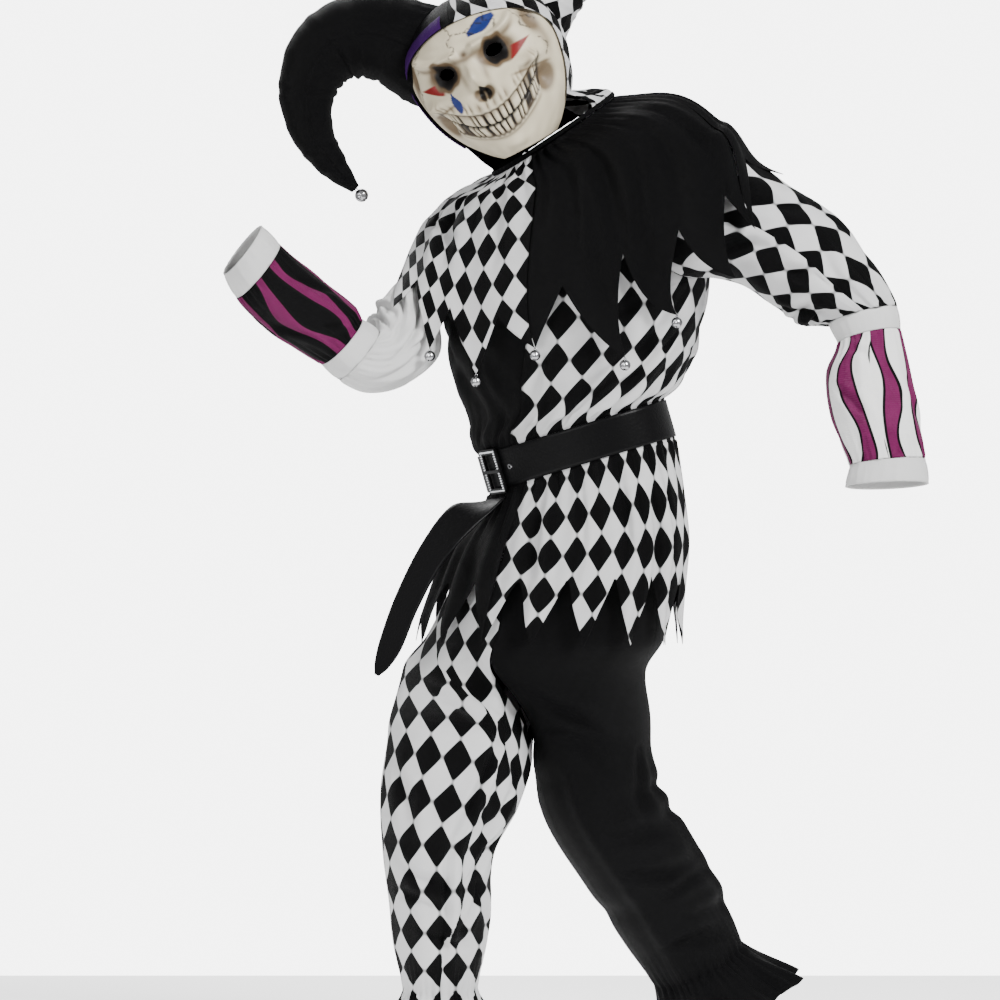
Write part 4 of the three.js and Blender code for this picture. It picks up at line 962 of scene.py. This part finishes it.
def tunic_relief(shift, rows):
    folds = creases(rows, 3.6)

    def relief(angle, at):
        blouse = 7.0 * hump(at - 474, 17) * (1 + 0.4 * uneven(angle, 26, shift))
        above = 2.4 * uneven(angle, 58, shift) * np.exp(-np.maximum(BELT_TOP - at, 0) / 34)
        below = 2.6 * uneven(angle, 50, shift + 1) * np.exp(-np.maximum(at - BELT_BOTTOM, 0) / 60)
        pleats = np.where(at < 531, above, below) * np.where((at > 496) & (at < 567), 0, 1)
        skirt = 3.2 * uneven(angle, 27, shift + 2) * smooth(at, 575, 700)
        chest = 1.5 * uneven(angle, 13, shift) * smooth(at, 110, 300) * (1 - smooth(at, 380, 440))
        return (blouse + pleats + skirt + chest + folds(angle, at)) * (1 - np.exp(-(at - BELT_TOP) ** 2 / 30))
    return relief


TUNIC_ROWS = (0, 50, 100, 128, 195, 262, 290, 345, 400, 440, 475, 500, 563, 590, 640, 700)


def tunic_panel(name, start, end, look):
    side = 90 if (start + end) / 2 > 0 else -90

    def place(s, t):
        down = t * 18
        at = np.interp(np.minimum(down, 15), np.arange(16), TUNIC_ROWS)
        hole = armhole_angle(at)
        low = np.where(start == side, start + hole, start) + SEAM_ANGLE
        high = np.where(end == side, end - hole, end) - SEAM_ANGLE
        angle = low + (high - low) * s
        tip = HEM_NOTCH + (HEM_TIP - HEM_NOTCH) * dag_share(start + (end - start) * s)
        return angle, at + (tip - at) * np.maximum(down - 15, 0) / 3

    def pattern(angle, at):
        skirt = smooth(at, 520, 542)
        return angle * 3.6 / 53 * (1 + 0.24 * skirt), at / 68

    cloth(name, torso, place, 76, 168, look, pattern, tunic_relief(start * 0.03, CREASES[name]))


tunic_panel("tunic_front_right", -90, 0, "black")
tunic_panel("tunic_front_left", 0, 90, "harlequin")
tunic_panel("tunic_back_left", 90, 180, "harlequin")
tunic_panel("tunic_back_right", -180, -90, "black")


# Sleeves, elbow bands, forearms and cuffs

def tube(name, surface, start, end, columns, rows, look, pattern, relief=None, wall=CLOTH):
    def place(s, t):
        return 360 * s, start + (end - start) * t
    cloth(name, surface, place, columns, rows, look, pattern, relief, wall, closed=True)


def sleeve_relief(end, shift, rows):
    folds = creases(rows, 1.4)

    def relief(angle, at):
        gathers = 2.2 * uneven(angle, 34, shift) * np.exp(-(end - at) / 34)
        head_gathers = 1.5 * uneven(angle, 26, shift + 1) * np.exp(-at / 26) * smooth(at, 2, 12)
        soft = 2.0 * uneven(angle, 5, shift) * smooth(at, 20, 90) * (1 - smooth(at, end - 60, end))
        wrap = folds(angle, at) + folds(angle - 360, at)
        return (gathers + head_gathers + soft + 1.4 * wrap) * (1 - hump(at - end, 3))
    return relief


def sleeve_pattern(angle, at):
    return angle * 1.45 / 54, at / 60


def upper_arm(name, rows, side, end, steps, look, shift):
    relief = sleeve_relief(end, shift, CREASES[name])
    surface = upper_sleeve(rows, side, side)
    tube(name, surface, SLEEVE_START, end, 120, steps, look, sleeve_pattern, relief)


upper_arm("sleeve_left", LEFT_SLEEVE, 1, LEFT_SLEEVE_END, 104, "harlequin", 0.4)
upper_arm("sleeve_right", RIGHT_SLEEVE, -1, RIGHT_SLEEVE_END, 96, "white", 1.3)


def band_relief(start, end, shift):
    def relief(angle, at):
        share = (at - start) / (end - start)
        edge = hump(share - 0.1, 0.05) + hump(share - 0.9, 0.05)
        return 1.5 * np.sin(np.pi * np.clip(share, 0, 1)) - 0.7 * edge + 0.5 * uneven(angle, 22, shift)
    return relief


def forearm_relief(start, end, shift, rows):
    folds = creases(rows, 1.1)

    def relief(angle, at):
        near = np.exp(-(at - start) / 26) + np.exp(-(end - at) / 26)
        soft = 1.8 * uneven(angle, 5, shift) * np.sin(np.pi * np.clip((at - start) / (end - start), 0, 1))
        ends = (1 - hump(at - start, 2.5)) * (1 - hump(end - at, 2.5))
        gathers = 1.9 * uneven(angle, 30, shift) * near
        return (gathers + soft + folds(angle, at) + folds(angle - 360, at)) * ends
    return relief


def lower_arm(suffix, rows, band_end, cuff_start, look, shift):
    plain = lambda angle, at: limb_ring(section_at(rows, at), angle)
    stripes = lambda angle, at: (angle * 7 / 360 + 0.12, at / 100)

    def band(name, start, stop, phase):
        relief = band_relief(start, stop, phase)
        tube(name, plain, start, stop, 96, 14, "white", sleeve_pattern, relief, BAND_WALL)

    band("elbow_band_" + suffix, 0, band_end - RING_SEAM, shift)
    name, stop = "forearm_" + suffix, cuff_start - RING_SEAM
    tube(name, lower_sleeve(rows, band_end, cuff_start), band_end, stop, 112, 66, look, stripes,
         forearm_relief(band_end, stop, shift, CREASES[name]))
    band("cuff_" + suffix, cuff_start, rows["at"][-1], shift + 1)


lower_arm("left", LEFT_ARM, 35, 240, "left stripes", 0.9)
lower_arm("right", RIGHT_ARM, 36, 218, "right stripes", 2.1)


# Cape: four dagged panels, gathered into the neck

def cape_relief(shift, rows):
    folds = creases(rows, 3.4)

    def relief(angle, share):
        gathers = 2.3 * uneven(angle, 46, shift) * np.exp(-share / 0.24)
        falls = 2.6 * uneven(angle, 17, shift + 1) * smooth(share, 0.08, 0.4)
        falls = falls * (1 - 0.4 * smooth(share, 0.6, 1))
        return (gathers + falls) * (1 - hump(share, 0.015)) + folds(angle, share * CAPE_LENGTH)
    return relief


def cape_panel(name, start, end, look):
    def place(s, t):
        return start + SIDE_SEAM + (end - start - 2 * SIDE_SEAM) * s, cape_end(start + (end - start) * s) * t

    def pattern(angle, share):
        return angle / 9.2, share * CAPE_LENGTH / 56
    cloth(name, cape, place, 96, 64, look, pattern, cape_relief(start * 0.05, CREASES[name]))


cape_panel("cape_front_right", -90, 0, "harlequin")
cape_panel("cape_front_left", 0, 90, "black")
cape_panel("cape_back_left", 90, 180, "black")
cape_panel("cape_back_right", -180, -90, "harlequin")


# Neck binding, belt strap and its hanging end, waistband

def binding(around, down):
    up = 10 - np.asarray(down, float)
    ring = body_ring(narrower(NECK_SECTION, -3.0 + 0.9 * ((up - 6.25) / 3.75) ** 2), around)
    return ring + times(NECK_UP + 0 * ring, up)


def hoop(name, surface, top, height, columns, rows, look, relief, wall):
    def place(s, t):
        return 360 * s - 180, top + height * t
    cloth(name, surface, place, columns, rows, look, lambda u, v: (u / 12, v / 60), relief, wall, closed=True)


hoop("neck_binding", binding, 0, 7.5, 160, 8, "black", lambda u, v: 0.35 * uneven(u, 60, 0.5), 2.2)
hoop("belt_strap", strap, STRAP_TOP, STRAP_BOTTOM - STRAP_TOP, 220, 10, "vinyl",
     lambda u, v: -0.5 * hump(np.abs(v - STRAP_MIDDLE) - 27, 1.2), STRAP_WALL)
cloth("belt_tail", tail, lambda s, t: (2 * s - 1, 372 * t), 12, 120, "vinyl",
      lambda u, v: (u, v / 60), lambda u, v: -0.5 * hump(np.abs(u) - 0.87, 0.04), STRAP_WALL)

hoop("trouser_waistband", moved_out(torso, -LAYER), WAISTBAND_TOP, 33, 120, 6, "black", None, STRAP_WALL)


# Trousers

def leg_relief(gather, shift, rows):
    folds = creases(rows, 1.9)

    def relief(angle, at):
        ankle = 2.6 * uneven(angle, 40, shift) * np.exp(-np.abs(at - gather) / 22)
        frill = 3.0 * uneven(angle, 22, shift + 1) * smooth(at, gather, LEG_END)
        soft = 2.4 * uneven(angle, 4, shift) * smooth(at, 420, 560) * (1 - smooth(at, gather - 90, gather))
        return ankle + frill + soft + folds(angle, at)
    return relief


# How far the print jumps across the one deep crease
TUCK_DEPTH = {"trouser_right_front": 0.45}


def trouser_panel(name, leg, start, shift):
    look, gather = "black" if leg > 0 else "harlequin", LEG_GATHER[leg]
    surface = trouser_leg(leg)

    def place(s, t):
        at = np.interp(t, [0, 0.08, 0.3, 0.88, 1], [0, 190, CROTCH, gather, LEG_END])
        return start + SIDE_SEAM + (180 - 2 * SIDE_SEAM) * s, at

    def pattern(angle, at):
        section = section_at(LEFT_LEG if leg > 0 else RIGHT_LEG, np.maximum(at, 300))
        heading = np.radians(section["heading"])
        points = surface(angle, at)
        away = points - centre_of(section)
        side = (away * vec(-np.sin(heading), 0, np.cos(heading))).sum(axis=-1)
        steps = np.linalg.norm(np.diff(points, axis=1), axis=-1)
        arc = np.concatenate([0 * side[:, :1], np.cumsum(steps, axis=1)], axis=1)
        row = np.arange(len(side))
        first = np.argmax(np.diff(np.sign(side), axis=1) != 0, axis=1)
        share = side[row, first] / (side[row, first] - side[row, first + 1])
        middle = arc[row, first] + share * steps[row, first]
        tuck_at = np.interp(at, [420, 562, 728, 830], [115, 113, 105, 82])
        tuck = TUCK_DEPTH.get(name, 0) * smooth(angle - tuck_at, -2, 2)
        return (arc - middle[:, None]) / 51 + tuck, at / 67
    cloth(name, surface, place, 72, 170, look, pattern, leg_relief(gather, shift, CREASES[name]))


trouser_panel("trouser_right_front", -1, 0, 0.3)
trouser_panel("trouser_right_back", -1, -180, 1.1)
trouser_panel("trouser_left_front", 1, -180, 1.9)
trouser_panel("trouser_left_back", 1, 0, 2.6)


# Hood: two halves and the purple edging

HOOD_STATIONS = ([0, 0.1, 0.2, 0.3, 0.45, 0.8, 1], [2, 20, FACE_TOP, 46, 90, HOOD_JAW, HOOD_LENGTH])


def hood_half(name, side, look):
    folds = creases(CREASES[name], 2.0)

    def place(s, t):
        at = np.interp(t, *HOOD_STATIONS)
        inset = np.degrees(0.15 / section_at(HEAD_SECTIONS, np.minimum(at, HOOD_JAW))["wide"])
        start, end = face_edge(at) + inset, 180 - inset
        share = s if side > 0 else 1 - s
        return side * (start + (end - start) * share), at

    def relief(angle, at):
        edge = hump(np.abs(np.abs(angle) - face_edge(at)), 3.0)
        gathers = 1.6 * uneven(angle, 40, 0.4 * side) * smooth(at, 225, 272)
        return 0.6 * edge + gathers * (at < 281) + folds(angle, at) * smooth(at, 30, 60)
    cloth(name, hood, place, 72, 110, look, lambda u, v: (u * 2.0 / 36, v / 45), relief)


hood_half("hood_right", -1, "black")
hood_half("hood_left", 1, "harlequin")

EDGING_FORM = moved_out(head, HOOD_LIFT + 2.4)


def edging(across, along):
    swing = np.radians(90 * np.minimum(along, 1))
    wide = 9 + 8 * (1 - smooth(along, 0.5, 0.95))
    at = FACE_WIDEST - (FACE_WIDEST - FACE_TOP + wide * (1 - across)) * np.cos(swing)
    angle = -(FACE_ANGLE + 5 * wide / 9 * (1 - across)) * np.sin(swing)
    return EDGING_FORM(angle, at + (HOOD_JAW - FACE_WIDEST) * np.maximum(along - 1, 0))


cloth("hood_edging", edging, lambda s, t: (s, 0.08 + 1.92 * t), 8, 90, "purple", lambda u, v: (u, v * 4),
      lambda u, v: 1.2 * np.sin(np.pi * np.clip(u, 0, 1)) + 0.3 * uneven(v * 200, 30), 1.2)


# Stuffed horns, each from the hood's surface to its tip

def horn(name, rows, look):
    end = rows["at"][-1]
    surface = lambda angle, at: limb_ring(section_at(rows, at), angle)
    angles = np.linspace(0, 360, 97)
    steps = np.linspace(0, 200, 401)
    room = head_room(surface(*np.meshgrid(angles, steps)), HOOD_LIFT + 0.6)
    inside = room < 0
    last = inside.shape[0] - 1 - np.argmax(inside[::-1], axis=0)
    base = np.where(inside.any(axis=0), steps[np.minimum(last + 1, 400)], 0)
    base[-1] = base[0]
    folds = creases(CREASES[name], 1.0)

    def place(s, t):
        start = np.interp(360 * s, angles, base)
        return 360 * s, start + (end - start) * t

    s, t = np.meshgrid(np.linspace(0, 1, 97), np.linspace(0, 1, 121))
    u, v = place(s, t)
    start = np.interp(360 * s, angles, base)
    pucker = 1.6 * uneven(u, 24, 0.7) * np.exp(-(v - start) / 14) * (1 - hump(v - start, 3))
    seam = -1.6 * sum(hump(apart(u, line), 2.2) for line in (0, 180)) * (v < end - 20)
    soft = 1.2 * uneven(v * 1.1, 9, 0.3) * np.sin(np.radians(u * 2 + 40)) * smooth(v - start, 0, 40)
    wrap = folds(u, v) + folds(u - 360, v)
    lift = (pucker + seam + soft + wrap) * smooth(end - v, 4, 30)
    points = raised(surface, u, v, lift)
    xy = np.stack([u * 1.1 / 36, v / 45], axis=-1)
    obj = grid_object(name + "_stuffed", points, xy, look, closed=True)
    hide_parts(name)


horn("horn_right", RIGHT_HORN, "black")
horn("horn_left", LEFT_HORN, "harlequin")


# Skull mask, with its own generic sculpt, painted marks and painted shade

MASK_TOP, MASK_BOTTOM, MASK_EDGE = 33, 270, 88
MASK_COLUMNS, MASK_ROWS, MASK_WALL = 190, 166, 2.0
TOOTH = 6.4


def pair(angle, at, where, down, wide, tall):
    """A soft spot on each side of the middle."""
    sides = hump(angle - where, wide) + hump(angle + where, wide)
    return hump(at - down, tall) * sides


def grin(angle):
    """How far down the biting line lies."""
    return 211 - 0.021 * angle ** 2


def teeth_at(angle, at):
    """0 in the gap between two teeth and 1 in the middle of one; the lower row is set off from the upper."""
    lower = at > grin(angle)
    size = 1 + 0.1 * np.sin(angle * 0.35 + 2 * lower)
    return np.abs(np.sin(np.pi * (angle / (TOOTH * size) + np.where(lower, 0.2, 0.5))))


def in_grin(angle, at, above, below):
    from_line = at - grin(angle)
    span = 1 - smooth(np.abs(angle), 40, 48)
    return span * smooth(from_line, -above - 2, -above + 2) * (1 - smooth(from_line, below - 2, below + 2))


def brow_line(angle, at):
    """How far below the brow's edge a place lies."""
    return at + 0.5 * np.abs(angle) - 90 + 4 * np.cos(np.radians(angle * 6))


def skull_relief(angle, at):
    side = np.abs(angle)
    brow = 13.0 * hump(brow_line(angle, at), 7) * smooth(side, 3, 9) * (1 - smooth(side, 40, 54))
    socket = -19 * pair(angle, at, EYE_ANGLE, 106, 11, 16)
    nose = -12 * pair(angle, at, 3.6, 160, 4.0, 10) + 11 * pair(angle, at, 0, 126, 4.5, 17)
    cheek = 13 * pair(angle, at, 42, 142, 12, 9) - 12 * pair(angle, at, 54, 182, 9, 18)
    jaw = 3 * pair(angle, at, 8, 252, 15, 9) + 4 * pair(angle, at, 12, 200, 24, 19)
    temple = -6 * pair(angle, at, 62, 86, 8, 24)
    from_line = at - grin(angle)
    corner = 1 - smooth(side, 42, 50)
    bite = hump(from_line, 2.4)
    tooth = teeth_at(angle, at)
    teeth = in_grin(angle, at, 21, 19) * (5.0 * np.sqrt(tooth) - 3.4) - 4.2 * bite * corner
    roots = 2.2 * tooth * hump(from_line + 32, 9) * corner
    lips = 3.0 * (hump(from_line + 26, 4) + hump(from_line - 24, 4)) * corner
    wrinkle = 1.6 * np.sin(at / 3.6 + 0.09 * side) * pair(angle, at, 30, 66, 20, 11)
    total = brow + socket + nose + cheek + jaw + temple + teeth + roots + lips + wrinkle
    return 1.25 * total * (1 - smooth(side, 66, 78)) * smooth(at, 38, 52)


def eye_hole(angle, at):
    across = (np.abs(angle) - EYE_ANGLE) * 2.05
    return np.hypot(across / 14.5, (at - 103) / 10.5)


# Cracks in the bone, as angles and depths below the crown
CRACKS = [
    [(-8, 36), (-4, 50), (-10, 60), (-5, 72), (-9, 84)], [(-4, 50), (8, 56), (14, 66)],
    [(30, 40), (26, 52), (34, 60), (30, 72)], [(48, 60), (54, 74), (50, 88), (58, 100)],
    [(-40, 44), (-46, 58), (-40, 70), (-48, 82)], [(-62, 100), (-56, 114), (-62, 128)],
    [(60, 120), (66, 136), (60, 150)], [(54, 74), (64, 78), (68, 90)], [(8, 56), (18, 50), (24, 56)],
]


def crack_depth(angle, at):
    total = 0 * angle
    for line in CRACKS:
        for (u0, v0), (u1, v1) in zip(line, line[1:]):
            ax, ay, bx, by = u0 * 2, v0, u1 * 2, v1
            dx, dy = bx - ax, by - ay
            t = np.clip(((angle * 2 - ax) * dx + (at - ay) * dy) / (dx * dx + dy * dy), 0, 1)
            bent = 1.2 * np.sin(at * 0.7) + 1.2 * np.sin(angle * 1.3)
            away = np.hypot(angle * 2 - ax - t * dx + bent, at - ay - t * dy)
            total = np.maximum(total, hump(away, 1.4))
    return total


def skull_paint_and_shade(angle, at, lift):
    """Coats over the bone colour, each with its share of cover: real marks, grime and cracks, and painted
    shade in the hollows, under the ridges, round the sockets and nose and in the mouth.
    """
    bone = np.array([0.46, 0.41, 0.3])
    stain_and_shade = np.array([0.085, 0.055, 0.028])
    dark = np.array([0.003, 0.0025, 0.0025])
    red = np.array([0.13, 0.0006, 0.001])
    blue = np.array([0.003, 0.012, 0.09])
    side, from_line, tooth = np.abs(angle), at - grin(angle), teeth_at(angle, at)
    span, mouth = 1 - smooth(side, 42, 49), in_grin(angle, at, 23, 21)
    grubby = 0.5 + 0.5 * np.sin(angle * 0.31 + 2 * np.sin(at * 0.05)) * np.sin(at * 0.09 + 0.8)
    # Masks of painted shade: under the brow and along the cheekbone's lower edge, each partly a drawn line,
    # and above the chin
    under_brow = hump(brow_line(angle, at) - 10, 5) * (1 - smooth(side, 38, 50))
    below_cheek = at - 157 - 0.2 * (side - 42)
    cheekbone = hump(below_cheek, 2.6) * smooth(side, 22, 30) * (1 - smooth(side, 58, 66))
    chin = hump(at - 236 + 0.016 * angle ** 2, 4)
    from_eye = np.abs(angle - EYE_ANGLE)
    flame = smooth(13 - 8 * smooth(from_eye, 0, 15) - np.abs(at + 0.4 * angle - 66), 0, 2)
    drop = np.hypot((angle + 24) * 2 / (7.5 * smooth(at, 128, 156) + 0.5), (at - 150) / 22)
    wing = 11 * (1 - smooth(side, 30, 58)) - np.abs(at - 122 + 0.55 * (side - 30))
    rim = np.hypot((side - EYE_ANGLE) * 2.05 / 23, (at - 106) / 23) + 0.07 * np.sin(angle * 0.6)
    nose = np.hypot(angle * 2 / (3.0 + 9.5 * smooth(at, 140, 168)), (at - 158) / 15)
    septum = 1 - 0.9 * hump(angle, 1.0) * smooth(at, 154, 160)
    # Masks of painted shade at the gum lines and the grin's ends
    scallop = 2.5 * tooth
    gum = hump(from_line + 21 + scallop, 2.2) + hump(from_line - 19 - scallop, 2.2)
    grin_end = hump(side - 47, 2.4) * (np.abs(from_line) < 24)
    coats = [
        # Uneven grime over the bone, a real tone
        (stain_and_shade, 0.14 * grubby),
        # Painted shade: the hollows, under the brow, along and below the cheekbone, at the face's sides,
        # beside the nose ridge, between the brows and above the chin
        (stain_and_shade, 0.9 * smooth(-lift, 0.2, 5)),
        (stain_and_shade, 0.8 * under_brow),
        (stain_and_shade, 0.8 * cheekbone + 0.6 * pair(angle, at, 66, 120, 5, 34)),
        (stain_and_shade, 0.6 * pair(angle, at, 8.5, 126, 2.4, 20) + 0.5 * pair(angle, at, 0, 88, 3, 7)),
        (stain_and_shade, 0.5 * chin * span),
        # Real marks: blue flames and drop, red wings
        (blue, flame * (1 - smooth(from_eye, 13, 15))),
        (blue, smooth(1.0 - drop, 0, 0.15)),
        (red, smooth(wing, 0, 2) * smooth(side, 27, 31)),
        # Painted shade round the eye sockets; the dark socket is partly a black coat and partly painted
        # shade, and the dark nose is painted shade of a hole
        (stain_and_shade, smooth(1.25 - rim, 0, 0.2)),
        (dark, smooth(1.0 - rim, 0, 0.16)),
        (dark, smooth(1.1 - nose, 0, 0.2) * septum),
        # Painted shade in the mouth: the teeth's edges, the gum lines, the bite, the gaps between teeth, the
        # grin's top and bottom, between the roots and the grin's ends
        (stain_and_shade, 0.75 * (1 - smooth(tooth, 0.3, 0.85)) * mouth),
        (dark, 0.85 * gum * span),
        (dark, 0.95 * span * hump(from_line, 2.6)),
        (dark, 0.97 * (1 - smooth(tooth, 0.22, 0.6)) * mouth),
        (stain_and_shade, 0.4 * mouth * smooth(np.abs(from_line), 12, 20)),
        (stain_and_shade, 0.8 * (1 - tooth) * hump(from_line + 33, 8) * span),
        (dark, 0.85 * grin_end),
        # Dark lines of the cracks, a real mark
        (dark, 0.85 * crack_depth(angle, at)),
    ]
    colour = bone + 0 * angle[..., None]
    for paint_and_shade, share in coats:
        colour = colour + (paint_and_shade - colour) * np.clip(share, 0, 1)[..., None]
    return colour


def skull_mask():
    s, t = np.meshgrid(np.linspace(-1, 1, MASK_COLUMNS + 1), np.linspace(0, 1, MASK_ROWS + 1))
    angle, at = MASK_EDGE * (0.66 * s + 0.34 * s ** 3), MASK_TOP + (MASK_BOTTOM - MASK_TOP) * t
    lift = skull_relief(angle, at) - 1.0 * crack_depth(angle, at)
    points = raised(head, angle, at, lift)
    paint_and_shade = skull_paint_and_shade(angle, at, lift)
    faces = grid_faces(MASK_ROWS, MASK_COLUMNS, MASK_COLUMNS + 1)
    keep = eye_hole((angle[:-1, :-1] + angle[1:, 1:]) / 2, (at[:-1, :-1] + at[1:, 1:]) / 2) > 1
    obj = mesh_object("mask_shell", points.reshape(-1, 3), faces[keep], "skull", None, paint_and_shade.reshape(-1, 3))
    thicken(obj, MASK_WALL)
    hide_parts("mask")


skull_mask()


# Bells: a ball with a slit and two round ends to it, and its loop; the slit and ends are sunk and coloured
# dark as painted shade of the bell's inside

CAPE_BELL, HORN_BELL = 9, 11


def frame_of(direction):
    down = unit(np.array(direction, float))
    side = unit(np.cross(down, [0.3, 1.0, 0.2]))
    return side, np.cross(down, side), down


def ball(centre, direction, radius, columns=36, rows=24):
    side, ahead, down = frame_of(direction)
    a, b = np.meshgrid(np.linspace(0, 2 * np.pi, columns + 1)[:-1], np.linspace(0, np.pi, rows + 1))
    local = np.stack([np.sin(b) * np.cos(a), np.sin(b) * np.sin(a), np.cos(b)], axis=-1)
    slit = (np.abs(local[..., 0]) < 0.11) & (local[..., 2] > -0.1)
    ends = (np.hypot(local[..., 0], local[..., 2] + 0.1) < 0.2) & (np.abs(local[..., 1]) > 0.8)
    # The slit and its ends are sunk and coloured dark: painted shade of the hollow inside
    dark = slit | ends
    ridge = 1 + 0.035 * hump(local[..., 2], 0.07)
    size = radius * np.where(dark, 0.9, ridge)
    points = centre + (local * size[..., None]) @ np.stack([side, ahead, down])
    return points.reshape(-1, 3), dark.reshape(-1), columns, rows


def loop(centre, direction, radius):
    side, ahead, down = frame_of(direction)
    middle = centre - down * 1.12 * radius
    a, b = np.meshgrid(np.linspace(0, 2 * np.pi, 17)[:-1], np.linspace(0, 2 * np.pi, 9)[:-1])
    ring = 0.2 * radius + 0.075 * radius * np.cos(b)
    local = np.stack([ring * np.cos(a), 0.075 * radius * np.sin(b), ring * np.sin(a)], axis=-1)
    points = middle + local.reshape(-1, 3) @ np.stack([side, ahead, down])
    faces = [[j * 16 + i, j * 16 + (i + 1) % 16, (j + 1) % 8 * 16 + (i + 1) % 16, (j + 1) % 8 * 16 + i]
             for j in range(8) for i in range(16)]
    return points, faces


def bell(name, tip, direction, radius):
    direction = unit(np.array(direction, float))
    centre = tip + direction * (1.25 * radius + 2.5 * SEAM)
    points, dark, columns, rows = ball(centre, direction, radius)
    faces = grid_faces(rows, columns, columns).reshape(-1, 4)
    shadowed = dark[faces].all(axis=1)
    loop_points, loop_faces = loop(centre, direction, radius)
    every = np.concatenate([faces, np.array(loop_faces) + len(points)])
    obj = mesh_object(name + "_ball", np.concatenate([points, loop_points]), every, "silver")
    obj.data.materials.append(LOOK["dark"])
    index = np.concatenate([shadowed.astype(np.int32), np.zeros(len(loop_faces), np.int32)])
    obj.data.polygons.foreach_set("material_index", index)
    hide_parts(name)


for number, angle in enumerate([-45, -22.5, 0, 22.5, 45, 135, 157.5, 180, -157.5, -135], 1):
    tip = cape(angle, 1.0) - 0.75 * normal_at(cape, float(angle), 0.98)
    bell(f"cape_bell_{number}", tip, (0, 0, -1), CAPE_BELL)
for name, rows in (("horn_bell_right", RIGHT_HORN), ("horn_bell_left", LEFT_HORN)):
    heading = np.radians(rows["heading"][-1])
    tip = np.array([rows[axis][-1] for axis in "xyz"])
    bell(name, tip, (np.cos(heading), 0, np.sin(heading)), HORN_BELL)


# Buckle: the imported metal, with softened edges and clear stones set along its frame

def soften(name, look, width):
    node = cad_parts[name]
    for slot in node.material_slots:
        slot.material = LOOK[look]
    bevel = node.modifiers.new("edges", "BEVEL")
    bevel.width = width * MM
    bevel.segments = 2
    bevel.limit_method = "ANGLE"


soften("belt_buckle", "buckle", 0.9)
soften("belt_prong", "buckle", 0.6)
soften("belt_eyelet", "silver", 0.25)


def buckle_stones():
    angle = -20.0
    normal = normal_at(torso, angle, STRAP_MIDDLE)
    down = unit(torso(angle, float(BELT_BOTTOM)) - torso(angle, float(BELT_TOP)))
    up = unit(-down + normal * (down @ normal))
    along = np.cross(up, normal)
    middle = (strap(angle, float(STRAP_TOP)) + strap(angle, float(STRAP_BOTTOM))) / 2
    base = middle + normal * (2 * SEAM + 5.05)
    wide, high = 23.5, 33.5
    spots = [(x, side * high) for side in (-1, 1) for x in np.linspace(-wide, wide, 12)]
    spots += [(side * wide, y) for side in (-1, 1) for y in np.linspace(-high, high, 17)[1:-1]]
    points, faces = [], []
    for x, y in spots:
        start = len(points)
        for size, lift in ((1.7, 0.0), (1.6, 1.1), (0.8, 2.2)):
            for k in range(8):
                a = np.pi * (k + 0.5) / 4
                across = base + along * (x + size * np.cos(a))
                points.append(across + up * (y + size * np.sin(a)) + normal * lift)
        for ring in (0, 8):
            for k in range(8):
                n = (k + 1) % 8
                a, b, c, d = start + ring + k, start + ring + n, start + ring + 8 + n, start + ring + 8 + k
                faces += [[a, b, c], [a, c, d]]
        faces += [[start + 16, start + 16 + k, start + 17 + k] for k in range(1, 7)]
    obj = mesh_object("buckle_stones", np.array(points), np.array(faces), "stone")
    obj.data.polygons.foreach_set("use_smooth", np.zeros(len(faces), bool))


buckle_stones()


# Floor, lights, white paper background and camera

def pale_floor(low):
    sheet = bpy.data.meshes.new("floor")
    corners = [(-1.8, -1.6, low), (1.8, -1.6, low), (1.8, 1.8, low), (-1.8, 1.8, low)]
    sheet.from_pydata(corners, [], [(0, 1, 2, 3)])
    floor = placed("floor", sheet)
    shade = Shade("floor", Base_Color=(0.92, 0.92, 0.92), Roughness=0.9)
    shade.put(shade.shader.inputs["Emission Color"], (1, 1, 1))
    shade.put(shade.shader.inputs["Emission Strength"], 1.2)
    sheet.materials.append(shade.material)


def light(name, place, aim, size, power):
    data = bpy.data.lights.new(name, "AREA")
    data.shape = "DISK"
    data.size = size
    data.energy = power
    lamp = placed(name, data)
    lamp.location = place
    turn = unit(np.array(place, float) - np.array(aim, float))
    lamp.rotation_euler = (np.arccos(turn[2]), 0, np.arctan2(turn[1], turn[0]) + np.pi / 2)


pale_floor(packed_low[2] - 0.004)
light("key", (2.5, -2.9, 2.3), (-0.05, 0, -0.5), 1.2, 430)
light("fill", (-3.0, -3.2, 0.6), (-0.05, 0, -0.6), 2.2, 130)
light("rim", (-1.2, 2.4, 2.0), (0, 0, -0.4), 1.6, 80)
world = bpy.data.worlds.new("studio")
world.use_nodes = True
nodes, links = world.node_tree.nodes, world.node_tree.links
sky = nodes["Background"]
paper = nodes.new("ShaderNodeBackground")
for background, strength in ((sky, 0.75), (paper, 6.0)):
    background.inputs[0].default_value = (1, 1, 1, 1)
    background.inputs[1].default_value = strength
seen = nodes.new("ShaderNodeLightPath")
choice = nodes.new("ShaderNodeMixShader")
links.new(seen.outputs["Is Camera Ray"], choice.inputs[0])
links.new(sky.outputs[0], choice.inputs[1])
links.new(paper.outputs[0], choice.inputs[2])
links.new(choice.outputs[0], nodes["World Output"].inputs[0])
bpy.context.scene.world = world

lens = bpy.data.cameras.new("photo")
lens.sensor_width = 36
lens.lens = 218.2
lens.clip_end = 60
camera = placed("photo", lens)
camera.location = (-0.091, -10.0, -0.599)
camera.rotation_euler = (np.pi / 2, 0, 0)
bpy.context.scene.camera = camera
